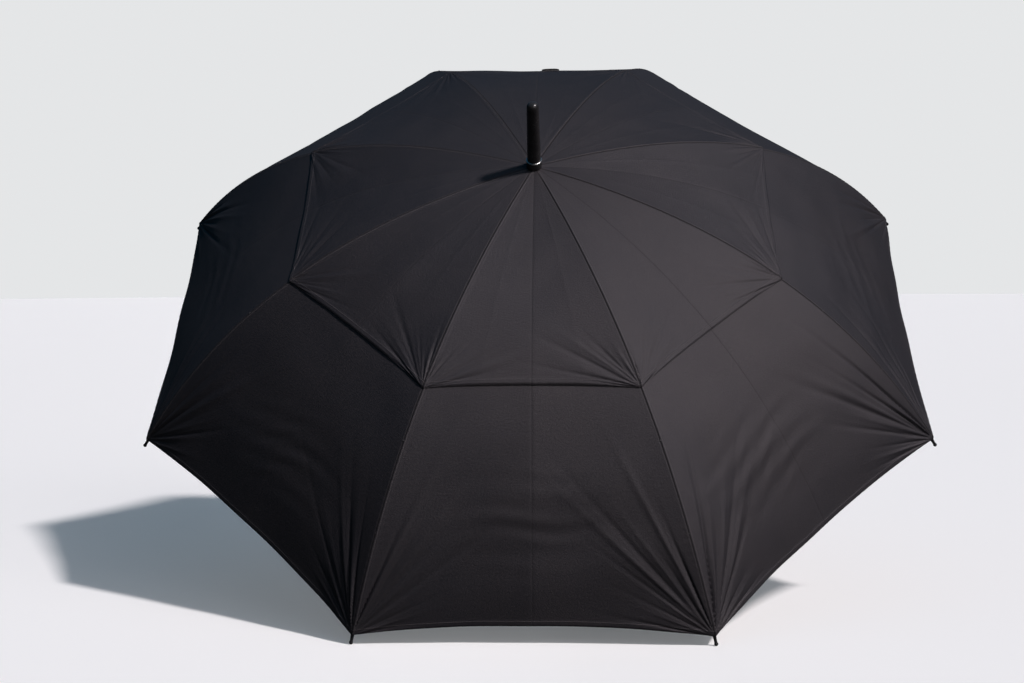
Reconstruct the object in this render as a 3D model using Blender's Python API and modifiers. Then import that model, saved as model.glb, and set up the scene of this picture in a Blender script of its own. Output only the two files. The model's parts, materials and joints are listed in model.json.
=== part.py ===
"""A vented eight-rib golf umbrella, open, resting on two rib tips and the end of its handle.

The umbrella is modelled about its own axis: the canopy's apex is the origin and +Z points to the
ferrule. One parent empty leans the whole umbrella into its resting pose and stands it on z = 0.
Each rib is drawn in its own radial plane, with X outwards from the shaft and Z towards the ferrule.
"""

import math

import bmesh
import bpy
import numpy as np
from mathutils import Matrix

MM = 0.001
GAP = 0.3 * MM
RIB_COUNT = 8
RIB_STEP = math.tau / RIB_COUNT
FIRST_RIB = 1.25 * math.tau / 4

# Canopy: how far it has dropped below the apex at a radius, as shares of the tip radius.
TIP_RADIUS = 0.650
DROP_LINEAR, DROP_SQUARE, DROP_FOURTH = 0.011, 0.2885, 0.207
VENT_RADIUS = 0.60 * TIP_RADIUS
UPPER_START = 9 * MM
LOWER_START = 0.55 * TIP_RADIUS
FABRIC = 1.2 * MM
LAYER_DROP = 2.6 * MM
UPPER_HEM_RISE, LOWER_HEM_RISE = 0.012, 0.012

# Shaft, ferrule and handle.
SHAFT_RADIUS = 7 * MM
BORE_RADIUS = SHAFT_RADIUS + GAP
FERRULE_LENGTH = 117 * MM
FERRULE_BORE_DEPTH = 22 * MM
COLLAR_RADIUS, ROD_BASE_RADIUS, ROD_TIP_RADIUS = 11.4 * MM, 9.7 * MM, 8.2 * MM
COLLAR_HEIGHT, BEAD_HEIGHT, ROD_FOOT, EDGE = 10.2 * MM, 13 * MM, 15 * MM, 1.2 * MM
HANDLE_TOP, HANDLE_END = 0.765, 0.905
GRIP_RADIUS, CAP_CORNER, CAP_HEIGHT = 16 * MM, 5 * MM, 12 * MM
GRIP_SHOULDER, GRIP_WAIST, CAP_EDGE = 8 * MM, 1.6 * MM, 1 * MM

# Rib linkage.
ROD_RADIUS = 1.9 * MM
ROD_BELOW_VENT, ROD_BELOW_TIP = 6.8 * MM, 4.6 * MM
PIVOT_RADIUS, NOTCH_PIVOT_Z = 12.5 * MM, -8.5 * MM
BRACKET_RADIUS = 0.45 * TIP_RADIUS
BRACKET_DROP = 5.8 * MM
BRACKET_LENGTH, BRACKET_WALL, BRACKET_SLOT = 8 * MM, 1.2 * MM, 4 * MM
BRACKET_HEAD, BRACKET_TOE = 0.6 * MM, 2.2 * MM
STRETCHER_RADIUS = 1.5 * MM
JOINT_CUT_BACK = 1.2 * MM
CLOSED_VENT_RADIUS = 36 * MM
FLEX_ANGLE = math.radians(24)
TIP_LENGTH, TIP_SOCKET, TIP_CAP_RADIUS = 15 * MM, 14 * MM, 2.8 * MM
TIP_WAIST, TIP_SOCKET_RADIUS = 2.2 * MM, 2.6 * MM

# Notch and runner.
CROWN_RADIUS, CORE_RADIUS = 16 * MM, 10 * MM
PLATE_RADIUS, PLATE_TOP, PLATE_BOTTOM = 17 * MM, -2.4 * MM, -3.6 * MM
NOTCH_BOTTOM = -14 * MM
NOTCH_SLOT, RUNNER_SLOT = 4.6 * MM, 3.8 * MM
WIRE_RADIUS, WIRE_ROOM = 0.45 * MM, 0.85 * MM
SLEEVE_RADIUS, SLEEVE_LENGTH = 10.4 * MM, 48 * MM
RUNNER_CROWN_UP, RUNNER_CROWN_DOWN = 5 * MM, 5 * MM
RUNNER_SLOT_FLOOR, RUNNER_WIRE_RING = 10.7 * MM, 10.2 * MM

# Spring catches, in a pocket of the shaft on the side between ribs 1 and 2.
CATCH_WIDTH, CATCH_LENGTH, CATCH_REACH, CATCH_INNER = 2.4 * MM, 15 * MM, 9 * MM, 3.6 * MM
CATCH_TRAVEL = 1.9 * MM
POCKET_WIDTH, POCKET_LENGTH, POCKET_FLOOR = 3 * MM, 16 * MM, 1.3 * MM
CHANNEL_WIDTH, CHANNEL_RADIUS = 3.4 * MM, 9.3 * MM

# Tie strap, folded flat on the lower canopy's rear panel, on rib 2's side of its centre line.
STRAP_RIB = 2
STRAP_FROM, STRAP_TO = 0.66 * TIP_RADIUS, 0.80 * TIP_RADIUS
STRAP_NEAR, STRAP_FAR, STRAP_THICKNESS = 4 * MM, 36 * MM, 4.5 * MM


def clear_scene():
    for thing in list(bpy.data.objects):
        bpy.data.objects.remove(thing, do_unlink=True)


def new_collection(name):
    made = bpy.data.collections.new(name)
    bpy.context.scene.collection.children.link(made)
    return made


clear_scene()
PARTS = new_collection("golf_umbrella")
CUTTERS = new_collection("cutters")


def material(name, color, roughness, metallic=0.0):
    made = bpy.data.materials.new(name)
    made.use_nodes = True
    shader = made.node_tree.nodes["Principled BSDF"]
    shader.inputs["Base Color"].default_value = (*color, 1)
    shader.inputs["Roughness"].default_value = roughness
    shader.inputs["Metallic"].default_value = metallic
    return made


FABRIC_BLACK = material("canopy_fabric", (0.022, 0.019, 0.02), 0.55)
WEBBING_BLACK = material("strap_webbing", (0.018, 0.017, 0.018), 0.7)
FIBREGLASS = material("rib_fibreglass", (0.02, 0.02, 0.02), 0.3)
SHAFT_FINISH = material("shaft_fibreglass", (0.02, 0.02, 0.022), 0.25)
PLASTIC = material("black_plastic", (0.012, 0.012, 0.013), 0.3)
FOAM = material("grip_foam", (0.02, 0.02, 0.02), 0.85)
STEEL = material("plated_steel", (0.6, 0.6, 0.6), 0.3, 1.0)


# ---- placing -------------------------------------------------------------------------------


def add_empty(name, parent=None, location=(0, 0, 0), turn=0.0):
    """An empty at location, turned about Z. A joint's empty has its origin on the joint's axis."""
    made = bpy.data.objects.new(name, None)
    PARTS.objects.link(made)
    made.empty_display_size = 0.02
    made.parent = parent
    made.location = location
    made.rotation_euler = (0, 0, turn)
    return made


def add_part(name, data, finish, parent):
    made = bpy.data.objects.new(name, data)
    PARTS.objects.link(made)
    made.parent = parent
    if finish.name not in data.materials:
        data.materials.append(finish)
    return made


# ---- shapes --------------------------------------------------------------------------------


def rod_curve(name, points, radius):
    """A straight or bent rod: a POLY spline in the radial plane with a round bevel."""
    data = bpy.data.curves.new(name, "CURVE")
    data.dimensions = "3D"
    data.bevel_depth = radius
    data.bevel_resolution = 1
    data.use_fill_caps = True
    spline = data.splines.new("POLY")
    spline.points.add(len(points) - 1)
    for place, (x, z) in zip(spline.points, points):
        place.co = (x, 0, z, 1)
    return data


def evaluated_mesh(name, source):
    """The mesh of an object with its modifiers applied, its caps welded."""
    graph = bpy.context.evaluated_depsgraph_get()
    made = bpy.data.meshes.new_from_object(source.evaluated_get(graph))
    made.name = name
    work = bmesh.new()
    work.from_mesh(made)
    bmesh.ops.remove_doubles(work, verts=work.verts, dist=1e-6)
    work.to_mesh(made)
    work.free()
    return made


def baked(name, data):
    """A mesh or a curve as a welded mesh."""
    helper = bpy.data.objects.new(name, data)
    bpy.context.scene.collection.objects.link(helper)
    made = evaluated_mesh(name, helper)
    bpy.data.objects.remove(helper)
    return made


def box_mesh(name, low, high):
    work = bmesh.new()
    bmesh.ops.create_cube(work, size=1)
    for vert in work.verts:
        for axis in range(3):
            share = vert.co[axis] + 0.5
            vert.co[axis] = low[axis] + share * (high[axis] - low[axis])
    made = bpy.data.meshes.new(name)
    work.to_mesh(made)
    work.free()
    return made


def ring_of_boxes(name, low, high):
    """One box for each rib, repeated around the axis, as a single cutter mesh."""
    work = bmesh.new()
    for k in range(RIB_COUNT):
        work.from_mesh(box_mesh(name, low, high))
        fresh = work.verts[-8:]
        bmesh.ops.rotate(work, verts=fresh, matrix=Matrix.Rotation((k + 0.5) * RIB_STEP, 3, "Z"))
        work.verts.ensure_lookup_table()
    made = bpy.data.meshes.new(name)
    work.to_mesh(made)
    work.free()
    return made


def turned(name, profile, steps=24, closed=False):
    """A profile of (radius, z) points, outer side from top to bottom, turned about Z."""
    data = bpy.data.meshes.new(name)
    count = len(profile)
    edges = [(i, i + 1) for i in range(count - 1)]
    if closed:
        edges.append((count - 1, 0))
    data.from_pydata([(r, 0, z) for r, z in profile], edges, [])
    helper = bpy.data.objects.new(name, data)
    bpy.context.scene.collection.objects.link(helper)
    screw = helper.modifiers.new("turn", "SCREW")
    screw.steps = screw.render_steps = steps
    screw.use_merge_vertices = True
    screw.merge_threshold = 1e-6
    made = evaluated_mesh(name, helper)
    bpy.data.objects.remove(helper)
    return made


def ring_mesh(name, ring_radius, wire_radius, z, steps=24, sides=6):
    """A wire ring: a small circle turned about Z."""
    corners = [math.tau * k / sides for k in range(sides)]
    profile = [(ring_radius + wire_radius * math.sin(a), z + wire_radius * math.cos(a)) for a in corners]
    return turned(name, profile, steps, closed=True)


def combine(name, base, others):
    """base with each (operation, mesh) applied in turn. The other meshes stay as hidden cutters."""
    helper = bpy.data.objects.new(name, base)
    bpy.context.scene.collection.objects.link(helper)
    for count, (operation, mesh) in enumerate(others):
        cutter = bpy.data.objects.new(f"{name}_cutter_{count}", mesh)
        CUTTERS.objects.link(cutter)
        cutter.hide_render = True
        cutter.display_type = "WIRE"
        modifier = helper.modifiers.new(mesh.name, "BOOLEAN")
        modifier.operation = operation
        modifier.solver = "EXACT"
        modifier.object = cutter
    bpy.context.view_layer.update()
    made = evaluated_mesh(name, helper)
    bpy.data.objects.remove(helper)
    return made


def arc(centre, radius, start, end, count):
    """Points of an arc in the profile plane; angles in degrees from +X (outwards) towards +Z."""
    angles = np.radians(np.linspace(start, end, count))
    return [(centre[0] + radius * math.cos(a), centre[1] + radius * math.sin(a)) for a in angles]


# ---- the canopy's curve, which every rib follows -----------------------------------------------


def canopy_drop(radius):
    share = radius / TIP_RADIUS
    return TIP_RADIUS * (DROP_LINEAR * share + DROP_SQUARE * share**2 + DROP_FOURTH * share**4)


def canopy_slope(radius):
    share = radius / TIP_RADIUS
    return DROP_LINEAR + 2 * DROP_SQUARE * share + 4 * DROP_FOURTH * share**3


def under_canopy(radius, below):
    """The point (x, z) at a distance below the canopy's outer surface, square to it."""
    slope = canopy_slope(radius)
    length = math.hypot(1, slope)
    return radius - below * slope / length, -canopy_drop(radius) - below / length


def outer_share(radius):
    return min(max((radius - VENT_RADIUS) / (TIP_RADIUS - VENT_RADIUS), 0), 1)


def rod_centre(radius):
    share = outer_share(radius)
    return under_canopy(radius, ROD_BELOW_VENT + share * (ROD_BELOW_TIP - ROD_BELOW_VENT))


def lower_layer(radius):
    return LAYER_DROP * (1 - outer_share(radius))


# ---- pivots of the linkage, all in the radial plane --------------------------------------------

NOTCH_PIVOT = (PIVOT_RADIUS, NOTCH_PIVOT_Z)
FLEX_PIVOT = rod_centre(VENT_RADIUS)
bracket_slope = canopy_slope(BRACKET_RADIUS)
bracket_seat = rod_centre(BRACKET_RADIUS)
bracket_tilt = math.atan(bracket_slope)
BRACKET_PIVOT = (
    bracket_seat[0] - BRACKET_DROP * math.sin(bracket_tilt),
    bracket_seat[1] - BRACKET_DROP * math.cos(bracket_tilt),
)


def from_axis(point):
    """Distance from the notch pivot, and the angle from straight down to the line to the point."""
    out, down = point[0] - NOTCH_PIVOT[0], NOTCH_PIVOT[1] - point[1]
    return math.hypot(out, down), math.atan2(out, down)


ARM, ARM_OPEN = from_axis(BRACKET_PIVOT)
INNER_LENGTH, INNER_OPEN = from_axis(FLEX_PIVOT)
CLOSING = INNER_OPEN - math.asin((CLOSED_VENT_RADIUS - PIVOT_RADIUS) / INNER_LENGTH)
ARM_CLOSED = ARM_OPEN - CLOSING
# The stretcher is as long as the arm from the notch to the bracket, so its foot stays under the notch.
RUNNER_PIVOT = (PIVOT_RADIUS, NOTCH_PIVOT_Z - 2 * ARM * math.cos(ARM_OPEN))
TRAVEL = 2 * ARM * (math.cos(ARM_CLOSED) - math.cos(ARM_OPEN))


def moved_to(points, origin):
    return [(x - origin[0], z - origin[1]) for x, z in points]


# ---- resting pose --------------------------------------------------------------------------


def tip_end():
    """Centre of the ball at the end of a rib's tip cap, in the radial plane."""
    x, z = rod_centre(TIP_RADIUS)
    slope = canopy_slope(TIP_RADIUS)
    reach = TIP_LENGTH - TIP_CAP_RADIUS
    return x + reach / math.hypot(1, slope), z - reach * slope / math.hypot(1, slope)


def resting_elevation():
    """The ferrule's angle above the floor when two tip caps and the handle's end touch it."""
    tip_x, tip_z = tip_end()
    across = -tip_x * math.cos(RIB_STEP / 2) + (GRIP_RADIUS - CAP_CORNER)
    along = tip_z + (HANDLE_END - CAP_CORNER)
    rise = (TIP_CAP_RADIUS - CAP_CORNER) / math.hypot(across, along)
    return math.asin(rise) - math.atan2(across, along)


ELEVATION = resting_elevation()
umbrella = add_empty("umbrella_axis")
umbrella.rotation_euler = (math.pi / 2 - ELEVATION, 0, 0)


# ---- ferrule, shaft and handle -----------------------------------------------------------------


def ferrule_mesh():
    """A collar, a bead and a slightly tapered rod with a domed end, bored for the shaft."""
    dome = arc((0, FERRULE_LENGTH - ROD_TIP_RADIUS), ROD_TIP_RADIUS, 90, 0, 7)
    bead = arc((ROD_BASE_RADIUS, BEAD_HEIGHT), EDGE, 90, -90, 5)
    collar = arc((COLLAR_RADIUS - EDGE, COLLAR_HEIGHT), EDGE, 90, 0, 4)
    profile = [(0, FERRULE_LENGTH)] + dome[1:] + [(ROD_BASE_RADIUS, ROD_FOOT)] + bead + collar
    profile += [(COLLAR_RADIUS, GAP), (BORE_RADIUS, GAP)]
    profile += [(BORE_RADIUS, FERRULE_BORE_DEPTH), (0, FERRULE_BORE_DEPTH)]
    return turned("ferrule", profile)


def catch_places():
    """Upper end of each catch: under the open runner's foot, and inside the closed runner."""
    foot = RUNNER_PIVOT[1] - SLEEVE_LENGTH
    return {"top_catch": foot - GAP, "bottom_catch": foot - TRAVEL + 0.7 * SLEEVE_LENGTH}


def shaft_mesh():
    top = FERRULE_BORE_DEPTH - 2 * MM
    bottom = -(HANDLE_END - CAP_HEIGHT - GAP - 3 * MM)
    rod = turned("shaft", [(0, top), (SHAFT_RADIUS, top), (SHAFT_RADIUS, bottom), (0, bottom)])
    pockets = []
    for name, z in catch_places().items():
        spare = (POCKET_LENGTH - CATCH_LENGTH) / 2
        low = (-POCKET_WIDTH / 2, POCKET_FLOOR, z - CATCH_LENGTH - spare)
        high = (POCKET_WIDTH / 2, SHAFT_RADIUS + 1 * MM, z + spare)
        pockets.append(("DIFFERENCE", box_mesh(name + "_pocket", low, high)))
    return combine("shaft", rod, pockets)


def grip_mesh():
    """A foam sleeve, softly rounded at both ends and a little fuller at the palm."""
    top, bottom = -HANDLE_TOP, -(HANDLE_END - CAP_HEIGHT)
    heights = np.linspace(top - GRIP_SHOULDER - 2 * MM, bottom, 7)
    palm = [(GRIP_RADIUS - GRIP_WAIST * math.cos(math.pi * k / 6) ** 2, z) for k, z in enumerate(heights)]
    middle = (GRIP_RADIUS - GRIP_WAIST - GRIP_SHOULDER, top - GRIP_SHOULDER)
    shoulder = arc(middle, GRIP_SHOULDER, 90, 0, 6)
    profile = [(BORE_RADIUS, top)] + shoulder[1:] + palm + [(BORE_RADIUS, bottom)]
    return turned("handle_grip", profile, closed=True)


def cap_mesh():
    top = -(HANDLE_END - CAP_HEIGHT) - GAP
    corner = arc((GRIP_RADIUS - CAP_CORNER, -HANDLE_END + CAP_CORNER), CAP_CORNER, 0, -90, 6)
    profile = [(0, top), (GRIP_RADIUS - CAP_EDGE, top), (GRIP_RADIUS, top - CAP_EDGE)] + corner
    return turned("handle_cap", profile + [(0, -HANDLE_END)])


add_part("ferrule", ferrule_mesh(), PLASTIC, umbrella)
add_part("shaft", shaft_mesh(), SHAFT_FINISH, umbrella)
add_part("handle_grip", grip_mesh(), FOAM, umbrella)
add_part("handle_cap", cap_mesh(), PLASTIC, umbrella)


# ---- catches ---------------------------------------------------------------------------------


def catch_mesh(name, lip):
    """A blade that slopes up to its lip, the square end that holds the runner: 1 above, -1 below."""
    middle = CATCH_LENGTH / 2
    low = (-CATCH_WIDTH / 2, CATCH_INNER, -middle)
    high = (CATCH_WIDTH / 2, CATCH_REACH, middle)
    made = box_mesh(name, low, high)
    for vert in made.vertices:
        if vert.co.y > SHAFT_RADIUS and vert.co.z * lip < 0:
            vert.co.y = SHAFT_RADIUS + 0.1 * MM
    return made


for catch_name, catch_top in catch_places().items():
    seat = add_empty(catch_name + "_seat", umbrella, (0, 0, catch_top - CATCH_LENGTH / 2))
    lip_side = 1 if catch_name == "top_catch" else -1
    add_part(catch_name, catch_mesh(catch_name, lip_side), STEEL, seat)


# ---- notch and runner --------------------------------------------------------------------------


def notch_mesh():
    """A slotted crown under a plate, with a round tunnel for the wire that the ribs hang on."""
    profile = [(BORE_RADIUS, PLATE_TOP), (PLATE_RADIUS, PLATE_TOP), (PLATE_RADIUS, PLATE_BOTTOM)]
    profile += [(CROWN_RADIUS, PLATE_BOTTOM), (CROWN_RADIUS, NOTCH_BOTTOM), (BORE_RADIUS, NOTCH_BOTTOM)]
    slots_low = (CORE_RADIUS, -NOTCH_SLOT / 2, NOTCH_BOTTOM - 2 * MM)
    slots_high = (PLATE_RADIUS + 2 * MM, NOTCH_SLOT / 2, PLATE_BOTTOM - 0.5 * MM)
    cuts = [
        ("DIFFERENCE", ring_of_boxes("notch_slots", slots_low, slots_high)),
        ("DIFFERENCE", ring_mesh("notch_tunnel", PIVOT_RADIUS, WIRE_ROOM, NOTCH_PIVOT_Z)),
    ]
    return combine("top_notch", turned("top_notch", profile, closed=True), cuts)


def runner_mesh():
    """A slotted crown on a sleeve, with a groove for its wire and a channel past the catches."""
    up, down = RUNNER_CROWN_UP, -RUNNER_CROWN_DOWN
    profile = [(BORE_RADIUS, up), (CROWN_RADIUS, up), (CROWN_RADIUS, down), (SLEEVE_RADIUS, down)]
    profile += [(SLEEVE_RADIUS, -SLEEVE_LENGTH), (BORE_RADIUS, -SLEEVE_LENGTH)]
    slots_low = (RUNNER_SLOT_FLOOR, -RUNNER_SLOT / 2, down - 2 * MM)
    slots_high = (CROWN_RADIUS + 2 * MM, RUNNER_SLOT / 2, up + 2 * MM)
    channel_low = (-CHANNEL_WIDTH / 2, SHAFT_RADIUS - 2 * MM, -SLEEVE_LENGTH - 2 * MM)
    channel_high = (CHANNEL_WIDTH / 2, CHANNEL_RADIUS, up + 2 * MM)
    cuts = [
        ("DIFFERENCE", ring_of_boxes("runner_slots", slots_low, slots_high)),
        ("DIFFERENCE", ring_mesh("runner_groove", RUNNER_WIRE_RING, WIRE_ROOM - 0.1 * MM, 0)),
        ("DIFFERENCE", box_mesh("runner_channel", channel_low, channel_high)),
    ]
    return combine("runner", turned("runner", profile, closed=True), cuts)


add_part("top_notch", notch_mesh(), PLASTIC, umbrella)
wire = ring_mesh("notch_wire", PIVOT_RADIUS, WIRE_RADIUS, NOTCH_PIVOT_Z)
add_part("notch_wire", wire, STEEL, umbrella)
guide = add_empty("runner_guide", umbrella, (0, 0, RUNNER_PIVOT[1]))
add_part("runner", runner_mesh(), PLASTIC, guide)
add_part("runner_wire", ring_mesh("runner_wire", RUNNER_WIRE_RING, WIRE_RADIUS, 0), STEEL, guide)


# ---- ribs, stretchers and tips -------------------------------------------------------------------


def cut_back(points, length):
    """The same run of points, its last point drawn back by a length."""
    (x0, z0), (x1, z1) = points[-2:]
    share = 1 - length / math.hypot(x1 - x0, z1 - z0)
    return points[:-1] + [(x0 + share * (x1 - x0), z0 + share * (z1 - z0))]


def inner_rib_mesh():
    """The rod from the notch to the vent, its wire eye, and the forked bracket crimped on it."""
    start = (PIVOT_RADIUS - ROD_RADIUS, NOTCH_PIVOT_Z)
    beyond = (PIVOT_RADIUS + 3 * MM, NOTCH_PIVOT_Z)
    run = [start, beyond] + [rod_centre(r) for r in np.linspace(0.04, VENT_RADIUS, 9)]
    run = moved_to(cut_back(run, JOINT_CUT_BACK), NOTCH_PIVOT)
    rod = baked("inner_rod", rod_curve("inner_rod", run, ROD_RADIUS))
    half_length, half_width = BRACKET_LENGTH / 2, BRACKET_SLOT / 2 + BRACKET_WALL
    foot = -BRACKET_DROP - BRACKET_TOE
    block = box_mesh("bracket", (-half_length, -half_width, foot), (half_length, half_width, BRACKET_HEAD))
    fork_low = (-BRACKET_LENGTH, -BRACKET_SLOT / 2, foot - 1 * MM)
    fork_high = (BRACKET_LENGTH, BRACKET_SLOT / 2, -ROD_RADIUS - 0.4 * MM)
    block = combine("bracket", block, [("DIFFERENCE", box_mesh("fork", fork_low, fork_high))])
    seat = moved_to([bracket_seat], NOTCH_PIVOT)[0]
    block.transform(Matrix.Translation((seat[0], 0, seat[1])) @ Matrix.Rotation(bracket_tilt, 4, "Y"))
    reach = ROD_RADIUS + 1.1 * MM
    eye = turned("eye", [(0, reach), (WIRE_ROOM, reach), (WIRE_ROOM, -reach), (0, -reach)], 12)
    eye.transform(Matrix.Rotation(math.pi / 2, 4, "X"))
    return combine("inner_rib", rod, [("UNION", block), ("DIFFERENCE", eye)])


def outer_rib_curve():
    """The rod from the tip back to the vent, straight where the tip cap's socket holds it."""
    held = TIP_RADIUS - TIP_SOCKET / math.hypot(1, canopy_slope(TIP_RADIUS))
    stations = [TIP_RADIUS] + list(np.linspace(held, VENT_RADIUS, 7))
    run = [rod_centre(r) for r in stations]
    return rod_curve("outer_rib", moved_to(cut_back(run, JOINT_CUT_BACK), FLEX_PIVOT), ROD_RADIUS)


def stretcher_curve():
    run = moved_to([BRACKET_PIVOT, RUNNER_PIVOT], BRACKET_PIVOT)
    return rod_curve("stretcher", run, STRETCHER_RADIUS)


def tip_mesh():
    """A socket over the rod's end that runs on to a small ball, turned about its own length."""
    rise = TIP_LENGTH - TIP_CAP_RADIUS
    ball = arc((0, rise), TIP_CAP_RADIUS, 90, -40, 7)
    bore = ROD_RADIUS + GAP
    foot = -TIP_SOCKET
    profile = [(0, rise + TIP_CAP_RADIUS)] + ball[1:] + [(TIP_WAIST, rise - 4 * MM)]
    profile += [(TIP_SOCKET_RADIUS, 1 * MM), (TIP_SOCKET_RADIUS, foot)]
    profile += [(bore, foot), (bore, GAP), (0, GAP)]
    return turned("tip", profile, 10)


inner_rib = inner_rib_mesh()
outer_rib = outer_rib_curve()
stretcher = stretcher_curve()
tip_cap = tip_mesh()


# ---- canopy gores ------------------------------------------------------------------------------


def gore_point(radius, side, below):
    """A point of a canopy half a panel wide each side of a rib. side runs from -1 to 1, and the
    surface is straight from rib to rib, so it falls inside the rib's own circle between them."""
    x, z = under_canopy(radius, below)
    chord = 2 * x * math.sin(RIB_STEP / 2)
    along = abs(side) * (chord / 2 - GAP)
    return x - along * math.sin(RIB_STEP / 2), math.copysign(along * math.cos(RIB_STEP / 2), side), z


def gore_mesh(name, inner, outer, hem_rise, layer, rows, origin):
    """A grid bent to the gore, with its hem curving up between the ribs, given its thickness."""
    columns = 4
    work = bmesh.new()
    bmesh.ops.create_grid(work, x_segments=rows, y_segments=columns, size=1)
    for vert in work.verts:
        side = vert.co.y
        hem = outer * (1 - hem_rise * abs(side) * (2 - abs(side)))
        radius = inner + (vert.co.x + 1) / 2 * (hem - inner)
        x, y, z = gore_point(radius, side, layer(radius))
        vert.co = (x - origin[0], y, z - origin[1])
    made = bpy.data.meshes.new(name)
    work.to_mesh(made)
    work.free()
    return made


def strap_mesh():
    """A grid laid on the lower canopy beside the panel's centre line, to be thickened outwards."""
    work = bmesh.new()
    bmesh.ops.create_grid(work, x_segments=4, y_segments=1, size=1)
    for vert in work.verts:
        radius = STRAP_FROM + (vert.co.x + 1) / 2 * (STRAP_TO - STRAP_FROM)
        below = lower_layer(radius) - 2 * GAP
        from_middle = STRAP_FAR - (vert.co.y + 1) / 2 * (STRAP_FAR - STRAP_NEAR)
        half_chord = under_canopy(radius, below)[0] * math.sin(RIB_STEP / 2)
        x, y, z = gore_point(radius, (half_chord - from_middle) / (half_chord - GAP), below)
        vert.co = (x - FLEX_PIVOT[0], y, z - FLEX_PIVOT[1])
    made = bpy.data.meshes.new("tie_strap")
    work.to_mesh(made)
    work.free()
    return made


def thick(sheet, thickness=FABRIC, outwards=False):
    wall = sheet.modifiers.new("cloth", "SOLIDIFY")
    wall.thickness = thickness
    wall.offset = 1 if outwards else -1
    wall.use_even_offset = True


upper = gore_mesh("upper_gore", UPPER_START, VENT_RADIUS, UPPER_HEM_RISE, lambda r: 0.0, 6, NOTCH_PIVOT)
lower = gore_mesh("lower_gore", LOWER_START, TIP_RADIUS, LOWER_HEM_RISE, lower_layer, 6, FLEX_PIVOT)


def at(point, origin):
    return (point[0] - origin[0], 0, point[1] - origin[1])


for k in range(RIB_COUNT):
    number = k + 1
    angle = FIRST_RIB - k * RIB_STEP
    hinge_place = (PIVOT_RADIUS * math.cos(angle), PIVOT_RADIUS * math.sin(angle), NOTCH_PIVOT_Z)
    rib_hinge = add_empty(f"rib_hinge_{number}", umbrella, hinge_place, angle)
    flex_hinge = add_empty(f"flex_hinge_{number}", rib_hinge, at(FLEX_PIVOT, NOTCH_PIVOT))
    bracket_hinge = add_empty(f"bracket_hinge_{number}", rib_hinge, at(BRACKET_PIVOT, NOTCH_PIVOT))
    add_part(f"rib_{number}", inner_rib, FIBREGLASS, rib_hinge)
    add_part(f"outer_rib_{number}", outer_rib, FIBREGLASS, flex_hinge)
    add_part(f"stretcher_{number}", stretcher, FIBREGLASS, bracket_hinge)
    tip = add_part(f"tip_{number}", tip_cap, PLASTIC, flex_hinge)
    tip.location = at(rod_centre(TIP_RADIUS), FLEX_PIVOT)
    tip.rotation_euler = (0, math.pi / 2 + math.atan(canopy_slope(TIP_RADIUS)), 0)
    thick(add_part(f"upper_gore_{number}", upper, FABRIC_BLACK, rib_hinge))
    thick(add_part(f"lower_gore_{number}", lower, FABRIC_BLACK, flex_hinge))
    if number == STRAP_RIB:
        thick(add_part("tie_strap", strap_mesh(), WEBBING_BLACK, flex_hinge), STRAP_THICKNESS, True)


# ---- stand on the floor, centred ---------------------------------------------------------------


def part_box():
    graph = bpy.context.evaluated_depsgraph_get()
    low, high = np.full(3, np.inf), np.full(3, -np.inf)
    for thing in PARTS.objects:
        if thing.type == "EMPTY":
            continue
        ready = thing.evaluated_get(graph)
        mesh = ready.to_mesh()
        points = np.array([ready.matrix_world @ v.co for v in mesh.vertices])
        ready.to_mesh_clear()
        low, high = np.minimum(low, points.min(0)), np.maximum(high, points.max(0))
    return low, high


bpy.context.view_layer.update()
box_low, box_high = part_box()
umbrella.location = (0, -(box_low[1] + box_high[1]) / 2, -box_low[2])
bpy.context.view_layer.update()
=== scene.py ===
"""A vented eight-rib golf umbrella, open, leaning on two rib tips and the end of its handle."""

import json
import math

import bmesh
import bpy
import numpy as np
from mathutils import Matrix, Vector


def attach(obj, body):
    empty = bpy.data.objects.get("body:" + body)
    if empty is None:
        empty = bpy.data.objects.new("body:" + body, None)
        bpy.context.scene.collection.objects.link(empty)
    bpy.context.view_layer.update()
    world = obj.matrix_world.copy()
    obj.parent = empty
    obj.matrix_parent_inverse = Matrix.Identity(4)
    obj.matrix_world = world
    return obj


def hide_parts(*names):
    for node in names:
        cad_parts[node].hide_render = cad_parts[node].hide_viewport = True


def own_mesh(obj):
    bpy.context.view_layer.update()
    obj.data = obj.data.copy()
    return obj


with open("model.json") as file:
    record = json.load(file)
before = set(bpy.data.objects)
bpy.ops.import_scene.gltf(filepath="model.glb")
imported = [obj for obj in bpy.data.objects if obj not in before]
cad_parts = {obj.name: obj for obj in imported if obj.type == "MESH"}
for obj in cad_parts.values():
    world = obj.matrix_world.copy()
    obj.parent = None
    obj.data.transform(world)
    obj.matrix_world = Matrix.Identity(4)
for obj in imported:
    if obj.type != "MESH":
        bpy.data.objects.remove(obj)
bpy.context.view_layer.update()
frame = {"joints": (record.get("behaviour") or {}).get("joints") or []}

scene = bpy.context.scene


# ---- camera --------------------------------------------------------------------------------
# Stands in front of the ferrule and slightly below it, a little to the right of the shaft's line,
# and looks very slightly down.

camera = bpy.data.objects.new("camera", bpy.data.cameras.new("camera"))
scene.collection.objects.link(camera)
camera.data.sensor_width = 36
camera.data.lens = 53.949
camera.location = (0.0533, -2.5074, 0.5122)
camera.rotation_euler = [math.radians(turn) for turn in (87.356, 0.285, 2.182)]
scene.camera = camera


# ---- floor ---------------------------------------------------------------------------------
# A round studio floor of smooth pale board. It runs far enough that its edge fades into the
# pale background from every side.

FLOOR_RADIUS = 30.0
FLOOR_DARK, FLOOR_PALE, FLOOR_GLOW = (0.80, 0.80, 0.79), (0.84, 0.84, 0.83), (0.12, 0.12, 0.12)
THROWN_BACK = (0.032, 0.036, 0.034)


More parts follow.
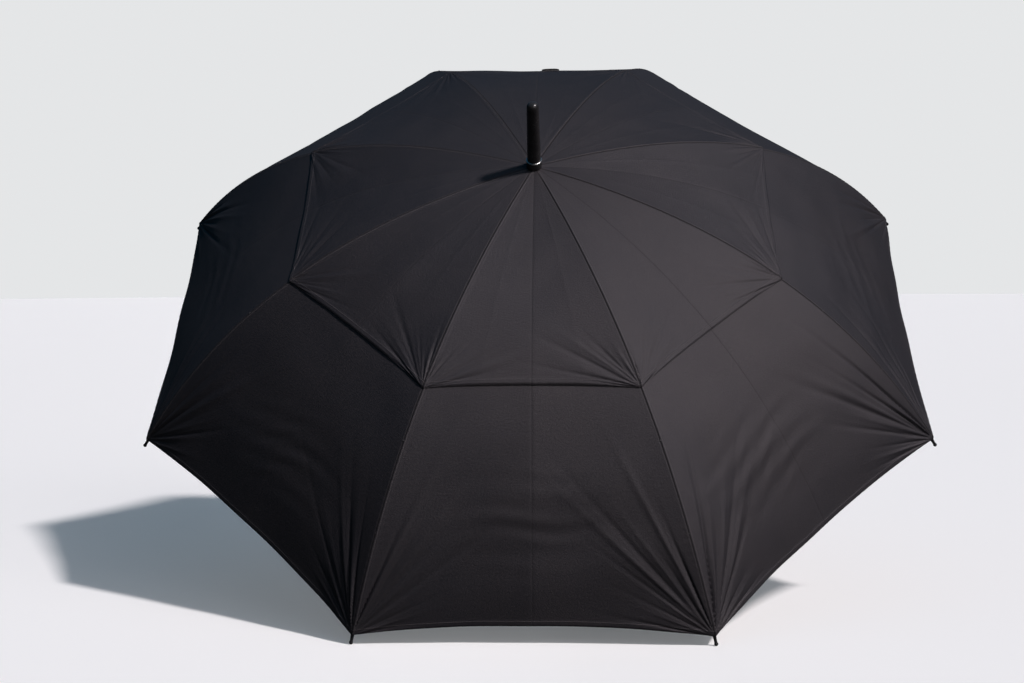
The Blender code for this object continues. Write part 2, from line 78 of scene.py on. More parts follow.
def node(tree, kind, inputs=(), **settings):
    """A shader node with its settings, each input given a value or joined to another's output."""
    made = tree.nodes.new("ShaderNode" + kind)
    for key, value in settings.items():
        setattr(made, key, value)
    for key, value in dict(inputs).items():
        if isinstance(value, bpy.types.NodeSocket):
            tree.links.new(value, made.inputs[key])
        else:
            made.inputs[key].default_value = value
    return made


def new_material(name, **sockets):
    """A material, its node tree and its Principled shader, the shader's own sockets given values."""
    made = bpy.data.materials.new(name)
    made.use_nodes = True
    shader = made.node_tree.nodes["Principled BSDF"]
    for label, value in sockets.items():
        shader.inputs[label.replace("_", " ")].default_value = value
    return made, made.node_tree, shader


def maths(tree, operation, first, second=0.0, third=0.0):
    return node(tree, "Math", {0: first, 1: second, 2: third}, operation=operation).outputs[0]


def blended(tree, share, low, high):
    """A colour from low to high as share goes from 0 to 1. Each is a colour or another's output."""
    low, high = [end if isinstance(end, bpy.types.NodeSocket) else (*end, 1) for end in (low, high)]
    return node(tree, "Mix", {0: share, 6: low, 7: high}, data_type="RGBA").outputs[2]


def feed(tree, shader, **outputs):
    """Outputs joined to the shader's own sockets, by name."""
    for label, output in outputs.items():
        tree.links.new(output, shader.inputs[label.replace("_", " ")])


# It throws back little light of its own, so that the canopy's shaded side stays dark.
board, tree, shader = new_material("floor_board", Roughness=0.8, Specular_IOR_Level=0.1)
speckle = node(tree, "TexNoise", {"Scale": 3.0, "Detail": 4.0}).outputs["Fac"]
seen = node(tree, "LightPath").outputs["Is Camera Ray"]
shown = blended(tree, seen, THROWN_BACK, blended(tree, speckle, FLOOR_DARK, FLOOR_PALE))
feed(tree, shader, Base_Color=shown, Emission_Color=blended(tree, seen, (0, 0, 0), FLOOR_GLOW))
shader.inputs["Emission Strength"].default_value = 1.0
bpy.ops.mesh.primitive_circle_add(vertices=96, radius=FLOOR_RADIUS, fill_type="NGON")
floor = bpy.context.object
floor.name = "floor"
floor.data.materials.append(board)


# ---- light ---------------------------------------------------------------------------------
# One warm main light high on the right, just soft enough to blur the ferrule's shadow, a broad
# faint one low in front, and a cool one behind that shows the underside. The surround is dim and
# bluer overhead, and looks pale behind the umbrella.

SKY_LOW, SKY_HIGH, BACKGROUND = (0.004, 0.010, 0.014), (0.012, 0.075, 0.140), (0.78, 0.79, 0.80)


def add_light(name, direction, strength, spread, color):
    """A distant lamp that shines from a direction, its shadows blurred over an angle in degrees."""
    made = bpy.data.objects.new(name, bpy.data.lights.new(name, "SUN"))
    scene.collection.objects.link(made)
    made.data.energy, made.data.angle, made.data.color = strength, math.radians(spread), color
    made.rotation_euler = Vector(direction).to_track_quat("Z", "Y").to_euler()


def ramp(tree, value, low, high, start=0.0, end=1.0):
    """A number that goes from start to end as a value goes from low to high, and no further."""
    ends = {"Value": value, "From Min": low, "From Max": high, "To Min": start, "To Max": end}
    return node(tree, "MapRange", ends).outputs["Result"]


add_light("main_light", (0.525, -0.455, 0.719), 3.35, 5, (1.0, 0.93, 0.94))
add_light("front_light", (0.60, -0.75, 0.28), 1.0, 50, (1.0, 0.93, 0.94))
add_light("back_light", (-0.12, 0.99, -0.03), 3.2, 12, (0.94, 0.97, 1.0))

world = bpy.data.worlds.new("surround")
scene.world = world
world.use_nodes = True
tree = world.node_tree
seen = node(tree, "LightPath").outputs["Is Camera Ray"]
height = node(tree, "SeparateXYZ", {0: node(tree, "TexCoord").outputs["Generated"]}).outputs["Z"]
glow = blended(tree, ramp(tree, height, 0.15, 0.75), SKY_LOW, SKY_HIGH)
feed(tree, tree.nodes["Background"], Color=blended(tree, seen, glow, BACKGROUND))
scene.view_settings.view_transform = "Standard"


# ---- where the umbrella stands -------------------------------------------------------------
# Everything turns about the shaft's line. Its direction is the runner's slide reversed, and the
# canopy's apex lies on it, just above the ring that the eight ribs hinge on.

joints = {joint["name"]: joint for joint in frame["joints"]}
RIBS = range(1, 9)
HALF_STEP = math.pi / 8
PIVOT_RADIUS, NOTCH_PIVOT_Z = 0.0125, -0.0085
shaft_up = -np.array(joints["runner_slide"]["axis"])
shaft_side = np.array((1.0, 0, 0))
shaft_back = np.cross(shaft_up, shaft_side)
TO_WORLD = np.stack([shaft_side, shaft_back, shaft_up])
hinges = np.array([joints[f"rib_hinge_{k}"]["pos_m"] for k in RIBS])
apex = hinges.mean(0) - NOTCH_PIVOT_Z * shaft_up


def placed(points):
    """Points about the umbrella's own axis (apex at 0, +Z to the ferrule) moved to the floor."""
    return np.asarray(points) @ TO_WORLD + apex


def rib_angle(k):
    """Rib 1 points up and to the left as seen from the ferrule's end, and the rest follow it round."""
    return 5 * HALF_STEP - (k - 1) * 2 * HALF_STEP


def at_rib(points, k):
    """Points of rib k's own radial frame (X outwards, Y round the axis) in the umbrella's frame."""
    cosine, sine = math.cos(rib_angle(k)), math.sin(rib_angle(k))
    x, y, z = np.moveaxis(np.asarray(points, float), -1, 0)
    return np.stack([x * cosine - y * sine, x * sine + y * cosine, z], -1)


# ---- shaft ---------------------------------------------------------------------------------
# A solid rod of pultruded glass fibre, 14 mm thick, painted black. Two pockets are milled into
# it for the spring catches, and it is glued into the ferrule and the end cap.

SHAFT_RADIUS, BORE_RADIUS = 0.007, 0.0073
SHAFT_TOP, SHAFT_END = 0.020, -0.8897
POCKET_HALF_WIDTH, POCKET_LENGTH, POCKET_FLOOR = 0.0015, 0.016, 0.0013
CATCH_LENGTH, CATCH_GAP, SHUT_SHARE = 0.015, 0.0003, 0.7
RUNNER_PIVOT_Z, SLEEVE_LENGTH = -0.10873, 0.048
travel = joints["runner_slide"]["range_m"][1]
catch_tops = {
    "top_catch": RUNNER_PIVOT_Z - SLEEVE_LENGTH - CATCH_GAP,
    "bottom_catch": RUNNER_PIVOT_Z - SLEEVE_LENGTH - travel + SHUT_SHARE * SLEEVE_LENGTH,
}


def skin(grid):
    """A grid of points as a surface: (points, quads, uv). Ends that meet are welded later. uv is the
    mean distance run across the columns and down the rows, in metres."""
    rows, columns = grid.shape[:2]
    index = np.arange(rows * columns).reshape(rows, columns)
    quads = np.stack([index[:-1, :-1], index[1:, :-1], index[1:, 1:], index[:-1, 1:]], -1).reshape(-1, 4)
    across = np.linalg.norm(np.diff(grid, axis=1), axis=2).mean(0)
    down = np.linalg.norm(np.diff(grid, axis=0), axis=2).mean(1)
    u, v = np.concatenate([[0], np.cumsum(across)]), np.concatenate([[0], np.cumsum(down)])
    uv = np.stack(np.broadcast_arrays(u[None, :], v[:, None]), -1)
    return grid.reshape(-1, 3), quads, uv.reshape(-1, 2)


def lathe(profile, steps=64):
    """Profile points (radius, z) turned about Z: (r cos a, r sin a, z) for a from 0 to a full turn."""
    profile = np.asarray(profile, float)
    turn = np.linspace(0, 2 * math.pi, steps + 1)
    radius, height = profile[:, :1], profile[:, 1:]
    return skin(np.stack([radius * np.cos(turn), radius * np.sin(turn), height + 0 * turn], -1))


def rounded(corners, sizes, steps=4):
    """A run of corner points with each inner corner replaced by a parabola that starts and ends
    its size away along the two edges. The first and last points stay."""
    corners = np.asarray(corners, float)
    share = np.linspace(0, 1, steps + 1)[:, None]
    run, sizes = [corners[:1]], np.broadcast_to(sizes, len(corners) - 2)
    for before, corner, after, size in zip(corners, corners[1:], corners[2:], sizes):
        start = corner + (before - corner) * min(1, size / np.linalg.norm(before - corner))
        end = corner + (after - corner) * min(1, size / np.linalg.norm(after - corner))
        run.append((1 - share) ** 2 * start + 2 * share * (1 - share) * corner + share**2 * end)
    return np.concatenate(run + [corners[-1:]])


def add_piece(name, surfaces, finish, body, stands_for=(), sharp=38):
    """One object from (points, quads, uv) surfaces in world metres, its doubles welded, every shell
    facing outwards, smooth but for edges sharper than an angle. It rides on a CAD body."""
    data = bpy.data.meshes.new(name)
    counts = np.cumsum([0] + [len(points) for points, _, _ in surfaces])
    quads = np.concatenate([quads + start for (_, quads, _), start in zip(surfaces, counts)])
    data.from_pydata(np.concatenate([points for points, _, _ in surfaces]), [], quads.tolist())
    uv = np.concatenate([uv for _, _, uv in surfaces])
    data.uv_layers.new(name="pattern").data.foreach_set("uv", uv[quads.ravel()].astype(np.float32).ravel())
    work = bmesh.new()
    work.from_mesh(data)
    bmesh.ops.remove_doubles(work, verts=work.verts, dist=2e-6)
    bmesh.ops.dissolve_degenerate(work, edges=work.edges, dist=1e-6)
    bmesh.ops.recalc_face_normals(work, faces=work.faces)
    work.to_mesh(data)
    work.free()
    data.shade_smooth()
    data.set_sharp_from_angle(angle=math.radians(sharp))
    data.materials.append(finish)
    made = bpy.data.objects.new(name, data)
    scene.collection.objects.link(made)
    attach(made, body)
    if stands_for:
        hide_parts(*stands_for)
    return made


def moved(surface, place):
    """A surface with its points passed through a placing function."""
    points, quads, uv = surface
    return place(points), quads, uv


def new_group(name, inputs, outputs):
    """A shader node group with named sockets: (group, its inside inputs, its inside outputs)."""
    made = bpy.data.node_groups.new(name, "ShaderNodeTree")
    for label, kind, start in inputs:
        socket = made.interface.new_socket(label, in_out="INPUT", socket_type="NodeSocket" + kind)
        if start is not None:
            socket.default_value = start
    for label in outputs:
        made.interface.new_socket(label, in_out="OUTPUT", socket_type="NodeSocketFloat")
    return made, made.nodes.new("NodeGroupInput").outputs, made.nodes.new("NodeGroupOutput").inputs


def use(tree, group, **inputs):
    """A group placed in a material, its inputs given by name."""
    return node(tree, "Group", inputs, node_tree=group).outputs


def bumped(tree, shader, strength, depth, height):
    """The shader's normal tilted by the slope of a height, its depth in metres."""
    bump = node(tree, "Bump", {"Strength": strength, "Distance": depth, "Height": height})
    feed(tree, shader, Normal=bump.outputs["Normal"])


# Handling: cloudy patches of dust and finger marks, 0 where clean and 1 where most marked.
handling, given, put = new_group("handling", [("Place", "Vector", None), ("Size", "Float", 12.0)], ["Amount"])
cloud = {"Vector": given["Place"], "Scale": given["Size"], "Detail": 6.0, "Roughness": 0.62}
patches = node(handling, "TexNoise", cloud).outputs["Fac"]
handling.links.new(ramp(handling, patches, 0.36, 0.72), put["Amount"])

# Streaks: fine lines that run along a drawn rod, from its own map of distances round and along.
streaks, given, put = new_group("streaks", [("Place", "Vector", None)], ["Line", "Height"])
drawn_out = node(streaks, "VectorMath", {0: given["Place"], 1: (3200.0, 28.0, 1.0)}, operation="MULTIPLY")
fine = {"Vector": drawn_out.outputs[0], "Scale": 1.0, "Detail": 3.0}
lines = node(streaks, "TexNoise", fine).outputs["Fac"]
streaks.links.new(ramp(streaks, lines, 0.5, 0.75), put["Line"])
streaks.links.new(lines, put["Height"])


def rod_finish(name, clean, streaked, roughness):
    """Painted glass fibre: streaks along the rod lighten it slightly, and handling dulls its gloss."""
    made, tree, shader = new_material(name, Coat_Weight=0.35, Coat_Roughness=0.12)
    own = node(tree, "UVMap").outputs["UV"]
    place = node(tree, "TexCoord").outputs["Object"]
    line = use(tree, streaks, Place=own)
    marks = use(tree, handling, Place=place, Size=30.0)["Amount"]
    feed(tree, shader, Base_Color=blended(tree, line["Line"], clean, streaked))
    feed(tree, shader, Roughness=maths(tree, "MULTIPLY_ADD", marks, 0.22, roughness))
    bumped(tree, shader, 0.25, 0.00008, line["Height"])
    return made


shaft_paint = rod_finish("shaft_paint", (0.012, 0.012, 0.013), (0.034, 0.034, 0.036), 0.22)

side_angle = math.asin(POCKET_HALF_WIDTH / SHAFT_RADIUS)
pocket_turns = np.linspace(-side_angle, side_angle, 9)
other_turns = np.linspace(side_angle, 2 * math.pi - side_angle, 62)
turns = np.concatenate([[-side_angle], pocket_turns, other_turns])
in_column = np.zeros(len(turns), bool)
in_column[1:10] = True
heights, in_row = [SHAFT_TOP], [False]
spare = (POCKET_LENGTH - CATCH_LENGTH) / 2
for top in catch_tops.values():
    high, low = top + spare, top - CATCH_LENGTH - spare
    heights += [high, high, low, low]
    in_row += [False, True, True, False]
heights, in_row = np.array(heights + [SHAFT_END]), np.array(in_row + [False])
turn, height = np.meshgrid(turns + math.pi / 2, heights)
cut = in_row[:, None] & in_column[None, :]
milled = np.where(cut, POCKET_FLOOR, SHAFT_RADIUS * np.sin(turn))
grid = np.stack([SHAFT_RADIUS * np.cos(turn), milled, height], -1)
top_centre, end_centre = [np.broadcast_to((0, 0, z), (1, len(turns), 3)) for z in (SHAFT_TOP, SHAFT_END)]
grid = np.concatenate([top_centre, grid, end_centre])
add_piece("shaft_rod", [moved(skin(grid), placed)], shaft_paint, "shaft", ["shaft"])


# ---- ferrule -------------------------------------------------------------------------------
# The spike above the canopy: a glossy black moulding with a round collar that clamps the cloth,
# a thin bright ring pressed on above it, and a slightly tapered rod with a domed end.

MM = 0.001
RING_Z, RING_RADIUS, RING_WIRE = 0.0124, 0.0105, 0.0012


def moulded(name, color, worn, roughness, grain_size, grain_depth):
    """Moulded plastic: fine pitting from the mould, and rubbed paler patches where it is handled."""
    made, tree, shader = new_material(name, Specular_IOR_Level=0.45)
    place = node(tree, "TexCoord").outputs["Object"]
    marks = use(tree, handling, Place=place, Size=45.0)["Amount"]
    pits = node(tree, "TexNoise", {"Vector": place, "Scale": grain_size, "Detail": 2.0}).outputs["Fac"]
    feed(tree, shader, Base_Color=blended(tree, marks, color, worn))
    feed(tree, shader, Roughness=maths(tree, "MULTIPLY_ADD", marks, 0.16, roughness))
    bumped(tree, shader, 0.4, grain_depth, pits)
    return made


def plated(name, color, roughness):
    """Plated steel with fine drawing marks and a few duller patches."""
    made, tree, shader = new_material(name, Metallic=1.0)
    place = node(tree, "TexCoord").outputs["Object"]
    marks = use(tree, handling, Place=place, Size=90.0)["Amount"]
    drawn = node(tree, "TexNoise", {"Vector": place, "Scale": 2600.0, "Detail": 1.0}).outputs["Fac"]
    feed(tree, shader, Base_Color=blended(tree, marks, color, [0.72 * c for c in color]))
    feed(tree, shader, Roughness=maths(tree, "MULTIPLY_ADD", marks, 0.25, roughness))
    bumped(tree, shader, 0.15, 0.00005, drawn)
    return made


gloss_black, gloss_worn = (0.010, 0.0098, 0.0105), (0.022, 0.021, 0.022)
glossy_plastic = moulded("ferrule_plastic", gloss_black, gloss_worn, 0.17, 900.0, 0.00006)
bright_steel = plated("bright_plating", (0.62, 0.61, 0.60), 0.2)

# Down the outside from the dome to the collar's foot, then up the socket that takes the shaft.
spike = [
    (0, 117), (8.7, 117), (9.0, 90), (10.0, 22), (10.1, 14.0), (10.2, 13.6),
    (10.2, 11.3), (11.4, 11.2), (11.4, 0.4), (7.3, 0.4), (7.3, 22), (0, 22),
]
spike_corners = [8.5, 2, 6, 0.8, 0.3, 0.2, 1.1, 0.5, 0.2, 0.2]
profile = rounded(np.array(spike) * MM, np.array(spike_corners) * MM, 8)
moulding = [moved(lathe(profile, 96), placed)]
add_piece("ferrule_spike", moulding, glossy_plastic, "shaft", ["ferrule"])
around = np.linspace(0, 2 * math.pi, 17)
ring = np.stack([RING_RADIUS + RING_WIRE * np.sin(around), RING_Z + RING_WIRE * np.cos(around)], -1)
add_piece("ferrule_ring", [moved(lathe(ring, 96), placed)], bright_steel, "shaft")


# ---- top notch -----------------------------------------------------------------------------
# The slotted nylon crown under the apex. A plated wire ring threads through its eight fins and
# through the eye at the end of each rib. It is pinned to the shaft.

CROWN_RADIUS, NOTCH_FLOOR, NOTCH_HALF_SLOT, WIRE_RADIUS = 0.016, 0.010, 0.0023, 0.00045


def crown_outline(half_slot, floor, scale=1.0):
    """The plan of a crown: eight arcs of the full radius between parallel-sided slots cut down to
    a floor radius. It returns the outline and the plain angles its columns keep on round parts."""
    reach = math.asin(half_slot / CROWN_RADIUS)
    depth = math.asin(half_slot / floor)
    arc = np.linspace(reach, 2 * HALF_STEP - reach, 11)
    plain = np.linspace(depth * 1.06, 2 * HALF_STEP - depth * 1.06, 11)
    angle = np.concatenate([[-depth, 0, depth], arc])
    radius = np.concatenate([[floor, floor * math.cos(depth), floor], np.full(11, CROWN_RADIUS * scale)])
    flat = np.concatenate([[-depth, 0, depth], plain])
    steps = np.arange(8)[:, None] * 2 * HALF_STEP + HALF_STEP
    turn, size = (steps + angle).ravel(), np.tile(radius, 8)
    outline = np.stack([size * np.cos(turn), size * np.sin(turn)], -1)
    return np.concatenate([outline, outline[:1]]), np.append((steps + flat).ravel(), steps[0] + flat[0])


def stacked(levels):
    """Plan outlines (points, z) joined one above the other."""
    return skin(np.stack([np.column_stack([plan, np.full(len(plan), z)]) for plan, z in levels]))


def ring_plan(angles, radius):
    return np.stack([radius * np.cos(angles), radius * np.sin(angles)], -1)


nylon = moulded("nylon", (0.014, 0.0138, 0.0145), (0.028, 0.027, 0.028), 0.34, 1400.0, 0.00008)
fins, turns = crown_outline(NOTCH_HALF_SLOT, NOTCH_FLOOR)
eased, _ = crown_outline(NOTCH_HALF_SLOT, NOTCH_FLOOR, 0.96)
bore = ring_plan(turns, BORE_RADIUS)
top, low, foot = -0.0036, -0.0132, -0.0140
crown = stacked([(bore, top), (fins, top), (fins, low), (eased, foot), (bore, foot), (bore, top)])
plate = lathe(rounded(np.array([(7.3, -2.4), (17, -2.4), (17, -3.7), (7.3, -3.7)]) * MM, 0.4 * MM), 96)
notch = [moved(crown, placed), moved(plate, placed)]
add_piece("notch_crown", notch, nylon, "shaft", ["top_notch"])


def hoop(radius, z, place):
    """A wire ring: a small circle carried round the axis."""
    around = np.linspace(0, 2 * math.pi, 13)
    section = np.stack([radius + WIRE_RADIUS * np.sin(around), z + WIRE_RADIUS * np.cos(around)], -1)
    return [moved(lathe(section, 80), place)]


ring = hoop(PIVOT_RADIUS, NOTCH_PIVOT_Z, placed)
add_piece("notch_wire_ring", ring, bright_steel, "shaft", ["notch_wire"])


# ---- runner --------------------------------------------------------------------------------
# The nylon slide that opens the umbrella: a slotted crown that holds the stretchers' feet on a
# wire ring, and a ridged sleeve to grip, with a channel inside that clears the spring catches.

RUNNER_FLOOR, RUNNER_HALF_SLOT, RUNNER_TOP, SLEEVE_RADIUS = 0.0107, 0.0019, 0.0050, 0.0104
FOOT_WIRE_RADIUS, CHANNEL_HALF_WIDTH, CHANNEL_RADIUS, CHANNEL_HALF_TURN = 0.0102, 0.0017, 0.0093, 9.5
RIDGE_DEPTH, RIDGE_PITCH, RIDGES_FROM, RIDGES_TO, RIM = 0.0007, 0.0045, -0.010, -0.0415, 0.0008
fins, turns = crown_outline(RUNNER_HALF_SLOT, RUNNER_FLOOR)
eased, _ = crown_outline(RUNNER_HALF_SLOT, RUNNER_FLOOR, 0.96)
beside = np.abs((np.degrees(turns) - 90 + 180) % 360 - 180)
bore = ring_plan(turns, BORE_RADIUS)
in_channel = beside < CHANNEL_HALF_TURN
across = np.clip(bore[in_channel, 0] * 1.5, -CHANNEL_HALF_WIDTH, CHANNEL_HALF_WIDTH)
bore[in_channel] = np.stack([across, np.full(len(across), CHANNEL_RADIUS)], -1)
levels = [(bore, RUNNER_TOP), (eased, RUNNER_TOP), (fins, 0.0044), (fins, -0.0044)]
levels += [(eased, -RUNNER_TOP), (ring_plan(turns, SLEEVE_RADIUS), -RUNNER_TOP)]
ridge_heights = np.linspace(-0.0060, -SLEEVE_LENGTH + RIM, 85)
ridges = RIDGE_DEPTH * (0.5 - 0.5 * np.cos(2 * math.pi * (ridge_heights - RIDGES_FROM) / RIDGE_PITCH))
ridges *= (ridge_heights < RIDGES_FROM) & (ridge_heights > RIDGES_TO)
levels += [(ring_plan(turns, SLEEVE_RADIUS - groove), z) for groove, z in zip(ridges, ridge_heights)]
levels += [(ring_plan(turns, SLEEVE_RADIUS - RIM), -SLEEVE_LENGTH), (bore, -SLEEVE_LENGTH), (bore, RUNNER_TOP)]


def at_runner(points):
    return placed(points + np.array((0, 0, RUNNER_PIVOT_Z)))


sleeve = [moved(stacked(levels), at_runner)]
add_piece("runner_slide_sleeve", sleeve, nylon, "runner", ["runner"])
ring = hoop(FOOT_WIRE_RADIUS, 0, at_runner)
add_piece("runner_wire_ring", ring, bright_steel, "runner", ["runner_wire"])


# ---- spring catches ------------------------------------------------------------------------
# Two sprung steel blades in the shaft's pockets. The upper one holds the runner open and the
# lower one holds it shut, each by the square lip at the end that it slopes up to.

CATCH_HALF_WIDTH, CATCH_INNER, CATCH_REACH = 0.0012, 0.0036, 0.0090


def blade(top, lip):
    """A side view (distance from the axis, height) run across the blade's width, its edges eased."""
    low, high = (top - CATCH_LENGTH, top) if lip > 0 else (top, top - CATCH_LENGTH)
    start = (CATCH_INNER, (low + high) / 2)
    corners = [(SHAFT_RADIUS + 0.0001, low), (CATCH_REACH, high), (CATCH_INNER, high), (CATCH_INNER, low)]
    side = rounded([start, *corners, start], 0.0006)
    centre = side.mean(0)
    widths = [(0.0, -1.0), (0.9, -1.0), (1.0, -0.75), (1.0, 0.75), (0.9, 1.0), (0.0, 1.0)]
    rows = [(centre + (side - centre) * share, across * CATCH_HALF_WIDTH) for share, across in widths]
    return skin(np.stack([np.insert(row, 0, across, axis=1) for row, across in rows]))


for name, lip in (("top_catch", 1), ("bottom_catch", -1)):
    surface = moved(blade(catch_tops[name], lip), placed)
    add_piece(name + "_blade", [surface], bright_steel, name, [name])


# ---- ribs ----------------------------------------------------------------------------------
# Eight black glass-fibre rods from the notch to the vent. Each has a plated eye on the notch's
# wire, a forked bracket crimped on for its stretcher, and half of a hinge at the vent.

TIP_RADIUS, VENT_RADIUS = 0.650, 0.390
DROP_LINEAR, DROP_SQUARE, DROP_FOURTH = 0.011, 0.2885, 0.207
ROD_RADIUS, ROD_BELOW_VENT, ROD_BELOW_TIP = 0.0019, 0.0068, 0.0046
BRACKET_RADIUS, BRACKET_DROP, SADDLE_HALF, HINGE_GAP = 0.2925, 0.0058, 0.0045, 0.0022
SIDEWAYS = np.array((0.0, 1.0, 0.0))


def canopy_drop(radius):
    share = radius / TIP_RADIUS
    return TIP_RADIUS * (DROP_LINEAR * share + DROP_SQUARE * share**2 + DROP_FOURTH * share**4)


def canopy_slope(radius):
    share = radius / TIP_RADIUS
    return DROP_LINEAR + 2 * DROP_SQUARE * share + 4 * DROP_FOURTH * share**3


def unit(vector):
    return np.asarray(vector) / np.linalg.norm(vector)


def under_canopy(radius, below):
    """Points (x, z) of the radial plane at a distance below the canopy's curve, square to it."""
    slope = canopy_slope(radius)
    length = np.hypot(1, slope)
    return radius - below * slope / length, -canopy_drop(radius) - below / length


def outer_share(radius):
    return np.clip((radius - VENT_RADIUS) / (TIP_RADIUS - VENT_RADIUS), 0, 1)


def rod_centre(radius):
    """The rod's centre line under the canopy, as points in the radial plane's frame."""
    x, z = under_canopy(radius, ROD_BELOW_VENT + outer_share(radius) * (ROD_BELOW_TIP - ROD_BELOW_VENT))
    return np.stack([x, 0 * x, z], -1)


def swept(path, radius, sides=20):
    """A round rod along a path in the radial plane: path + r (cos a x in-plane normal + sin a x
    sideways). Each end closes on the path through two rings of a small dome."""
    path = np.asarray(path, float)
    radius = np.broadcast_to(radius, len(path)).astype(float)
    heading = np.gradient(path, axis=0)
    heading /= np.linalg.norm(heading, axis=1, keepdims=True)
    normal = np.cross(SIDEWAYS, heading)
    ease = 0.25 * radius[0]
    first, last = path[:1], path[-1:]
    domed_in, domed_out = first + ease * heading[:1], last - ease * heading[-1:]
    path = np.concatenate([first, first, domed_in, path[1:-1], domed_out, last, last])
    normal = np.concatenate([normal[:1]] * 2 + [normal] + [normal[-1:]] * 2)
    radius = np.concatenate([[0, radius[0] * 0.75], radius, [radius[-1] * 0.75, 0]])
    turn = np.linspace(0, 2 * math.pi, sides + 1)
    ring = np.cos(turn)[:, None] * normal[:, None] + np.sin(turn)[:, None] * SIDEWAYS
    return skin(path[:, None] + radius[:, None, None] * ring)


def crosswise(profile, centre, steps=28):
    """A profile (radius, distance along Y) turned about the line through centre that lies along Y."""
    return moved(lathe(profile, steps), lambda points: points[:, [0, 2, 1]] + centre)


def pin(centre, half_length, radius, head_radius, head_height):
    """A rivet: a plain shank that spreads into a low domed head at each end."""
    out, tip = half_length, half_length + head_height
    dome = [(0, tip), (0.6 * head_radius, tip - 0.15 * head_height), (head_radius, out + 0.2 * head_height)]
    half = dome + [(head_radius, out), (radius, out)]
    return crosswise(half + [(r, -z) for r, z in half[::-1]], centre)


def cheek(outline, inner, outer):
    """A flat plate: an outline (x, z) between two distances along Y, with its rim eased."""
    outline = np.asarray(outline, float)
    outline = np.concatenate([outline, outline[:1]])
    centre, ease = outline[:-1].mean(0), 0.12 * (outer - inner)
    rows = [(0, inner), (0.94, inner), (1, inner + ease), (1, outer - ease), (0.94, outer), (0, outer)]
    return skin(np.stack([np.insert(centre + (outline - centre) * share, 1, y, axis=1) for share, y in rows]))


def teardrop(top, bottom, top_radius, bottom_radius, steps=9):
    """The outline round two circles of different size, one above the other."""
    upper, lower = np.linspace(0, math.pi, steps), np.linspace(math.pi, 2 * math.pi, steps)
    first = top + top_radius * np.stack([np.cos(upper), np.sin(upper)], -1)
    second = bottom + bottom_radius * np.stack([np.cos(lower), np.sin(lower)], -1)
    return np.concatenate([first, second])


rib_paint = rod_finish("rib_paint", (0.013, 0.013, 0.014), (0.040, 0.039, 0.040), 0.28)
dark_steel = plated("dark_plating", (0.30, 0.295, 0.29), 0.32)

stations = np.linspace(0.040, VENT_RADIUS, 40)
rib_start = [(PIVOT_RADIUS + 0.0025, 0, NOTCH_PIVOT_Z), (PIVOT_RADIUS + 0.006, 0, NOTCH_PIVOT_Z - 0.0001)]
rib_line = np.concatenate([rib_start, rod_centre(stations)])
into_vent = unit(rib_line[-1] - rib_line[-2])
rib_line[-1] -= HINGE_GAP * into_vent
flex_pivot = rod_centre(np.array([VENT_RADIUS]))[0]
seat = rod_centre(np.array([BRACKET_RADIUS]))[0]
lean = unit((1.0, 0, -canopy_slope(BRACKET_RADIUS)))
bracket_pivot = seat + BRACKET_DROP * np.cross(SIDEWAYS, lean)


def leaning(outline, origin, heading):
    """Outline points (along a heading, away from the canopy) as (x, z) of the radial plane."""
    along, away = np.asarray(outline).T[..., None]
    return (origin + along * heading + away * np.cross(SIDEWAYS, heading))[:, [0, 2]]


def eye(centre, radius, half_width):
    """A rolled eye: a ring of flattened section about the line along Y."""
    bore, end = 0.45 * radius, half_width
    profile = [(bore, 0), (bore, end), (radius, end), (radius, -end), (bore, -end), (bore, 0)]
    return crosswise(rounded(profile, 0.0003), centre)


def band(start, end, radius, sides=20):
    """A short ferrule over a straight run of rod, with a shallow crimp in its middle."""
    share = np.linspace(0, 1, 13)
    path = start + (end - start) * share[:, None]
    return swept(path, radius - 0.12 * (radius - 0.0016) * np.exp(-(((share - 0.5) / 0.14) ** 2)), sides)


notch_end = np.array((PIVOT_RADIUS, 0, NOTCH_PIVOT_Z))
saddle = seat + np.linspace(-SADDLE_HALF, SADDLE_HALF, 9)[:, None] * lean
bracket = leaning(teardrop((0, BRACKET_DROP), (0, 0), 0.0026, 0.0034), seat, lean)
rib_metal = [
    eye(notch_end, 0.0019, 0.0014),
    band(notch_end + np.array((0.0016, 0, 0)), rib_line[3], 0.0021),
    swept(saddle, 0.0025),
    cheek(bracket, 0.0021, 0.0031),
    cheek(bracket, -0.0031, -0.0021),
    pin(bracket_pivot, 0.0031, 0.0009, 0.0017, 0.0007),
    band(flex_pivot - 0.015 * into_vent, flex_pivot - 0.0024 * into_vent, 0.0025),
    eye(flex_pivot, 0.0026, 0.0012),
    pin(flex_pivot, 0.0024, 0.0009, 0.0015, 0.0006),
]


def on_rib(surfaces, k):
    """Surfaces made in the radial frame, moved to rib k."""
    return [moved(surface, lambda points: placed(at_rib(points, k))) for surface in surfaces]


def add_rods(rod, metal, line, radius, sides, metalwork):
    """A rod and its metalwork for each of eight like bodies, by the starts of their names."""
    for k in RIBS:
        name, body = f"{rod}_rod_{k}", f"{metal}_{k}"
        shape = on_rib([swept(line, radius, sides)], k)
        add_piece(name, shape, rib_paint, body, [body])
        add_piece(f"{rod}_metalwork_{k}", on_rib(metalwork, k), dark_steel, body)


add_rods("rib", "rib", rib_line, ROD_RADIUS, 20, rib_metal)


# ---- outer ribs ----------------------------------------------------------------------------
# The rods' outer halves, from the hinge at the vent to the hem, in the same glass fibre. The
# plated fork of each hinge turns a little past straight when the umbrella is shut.

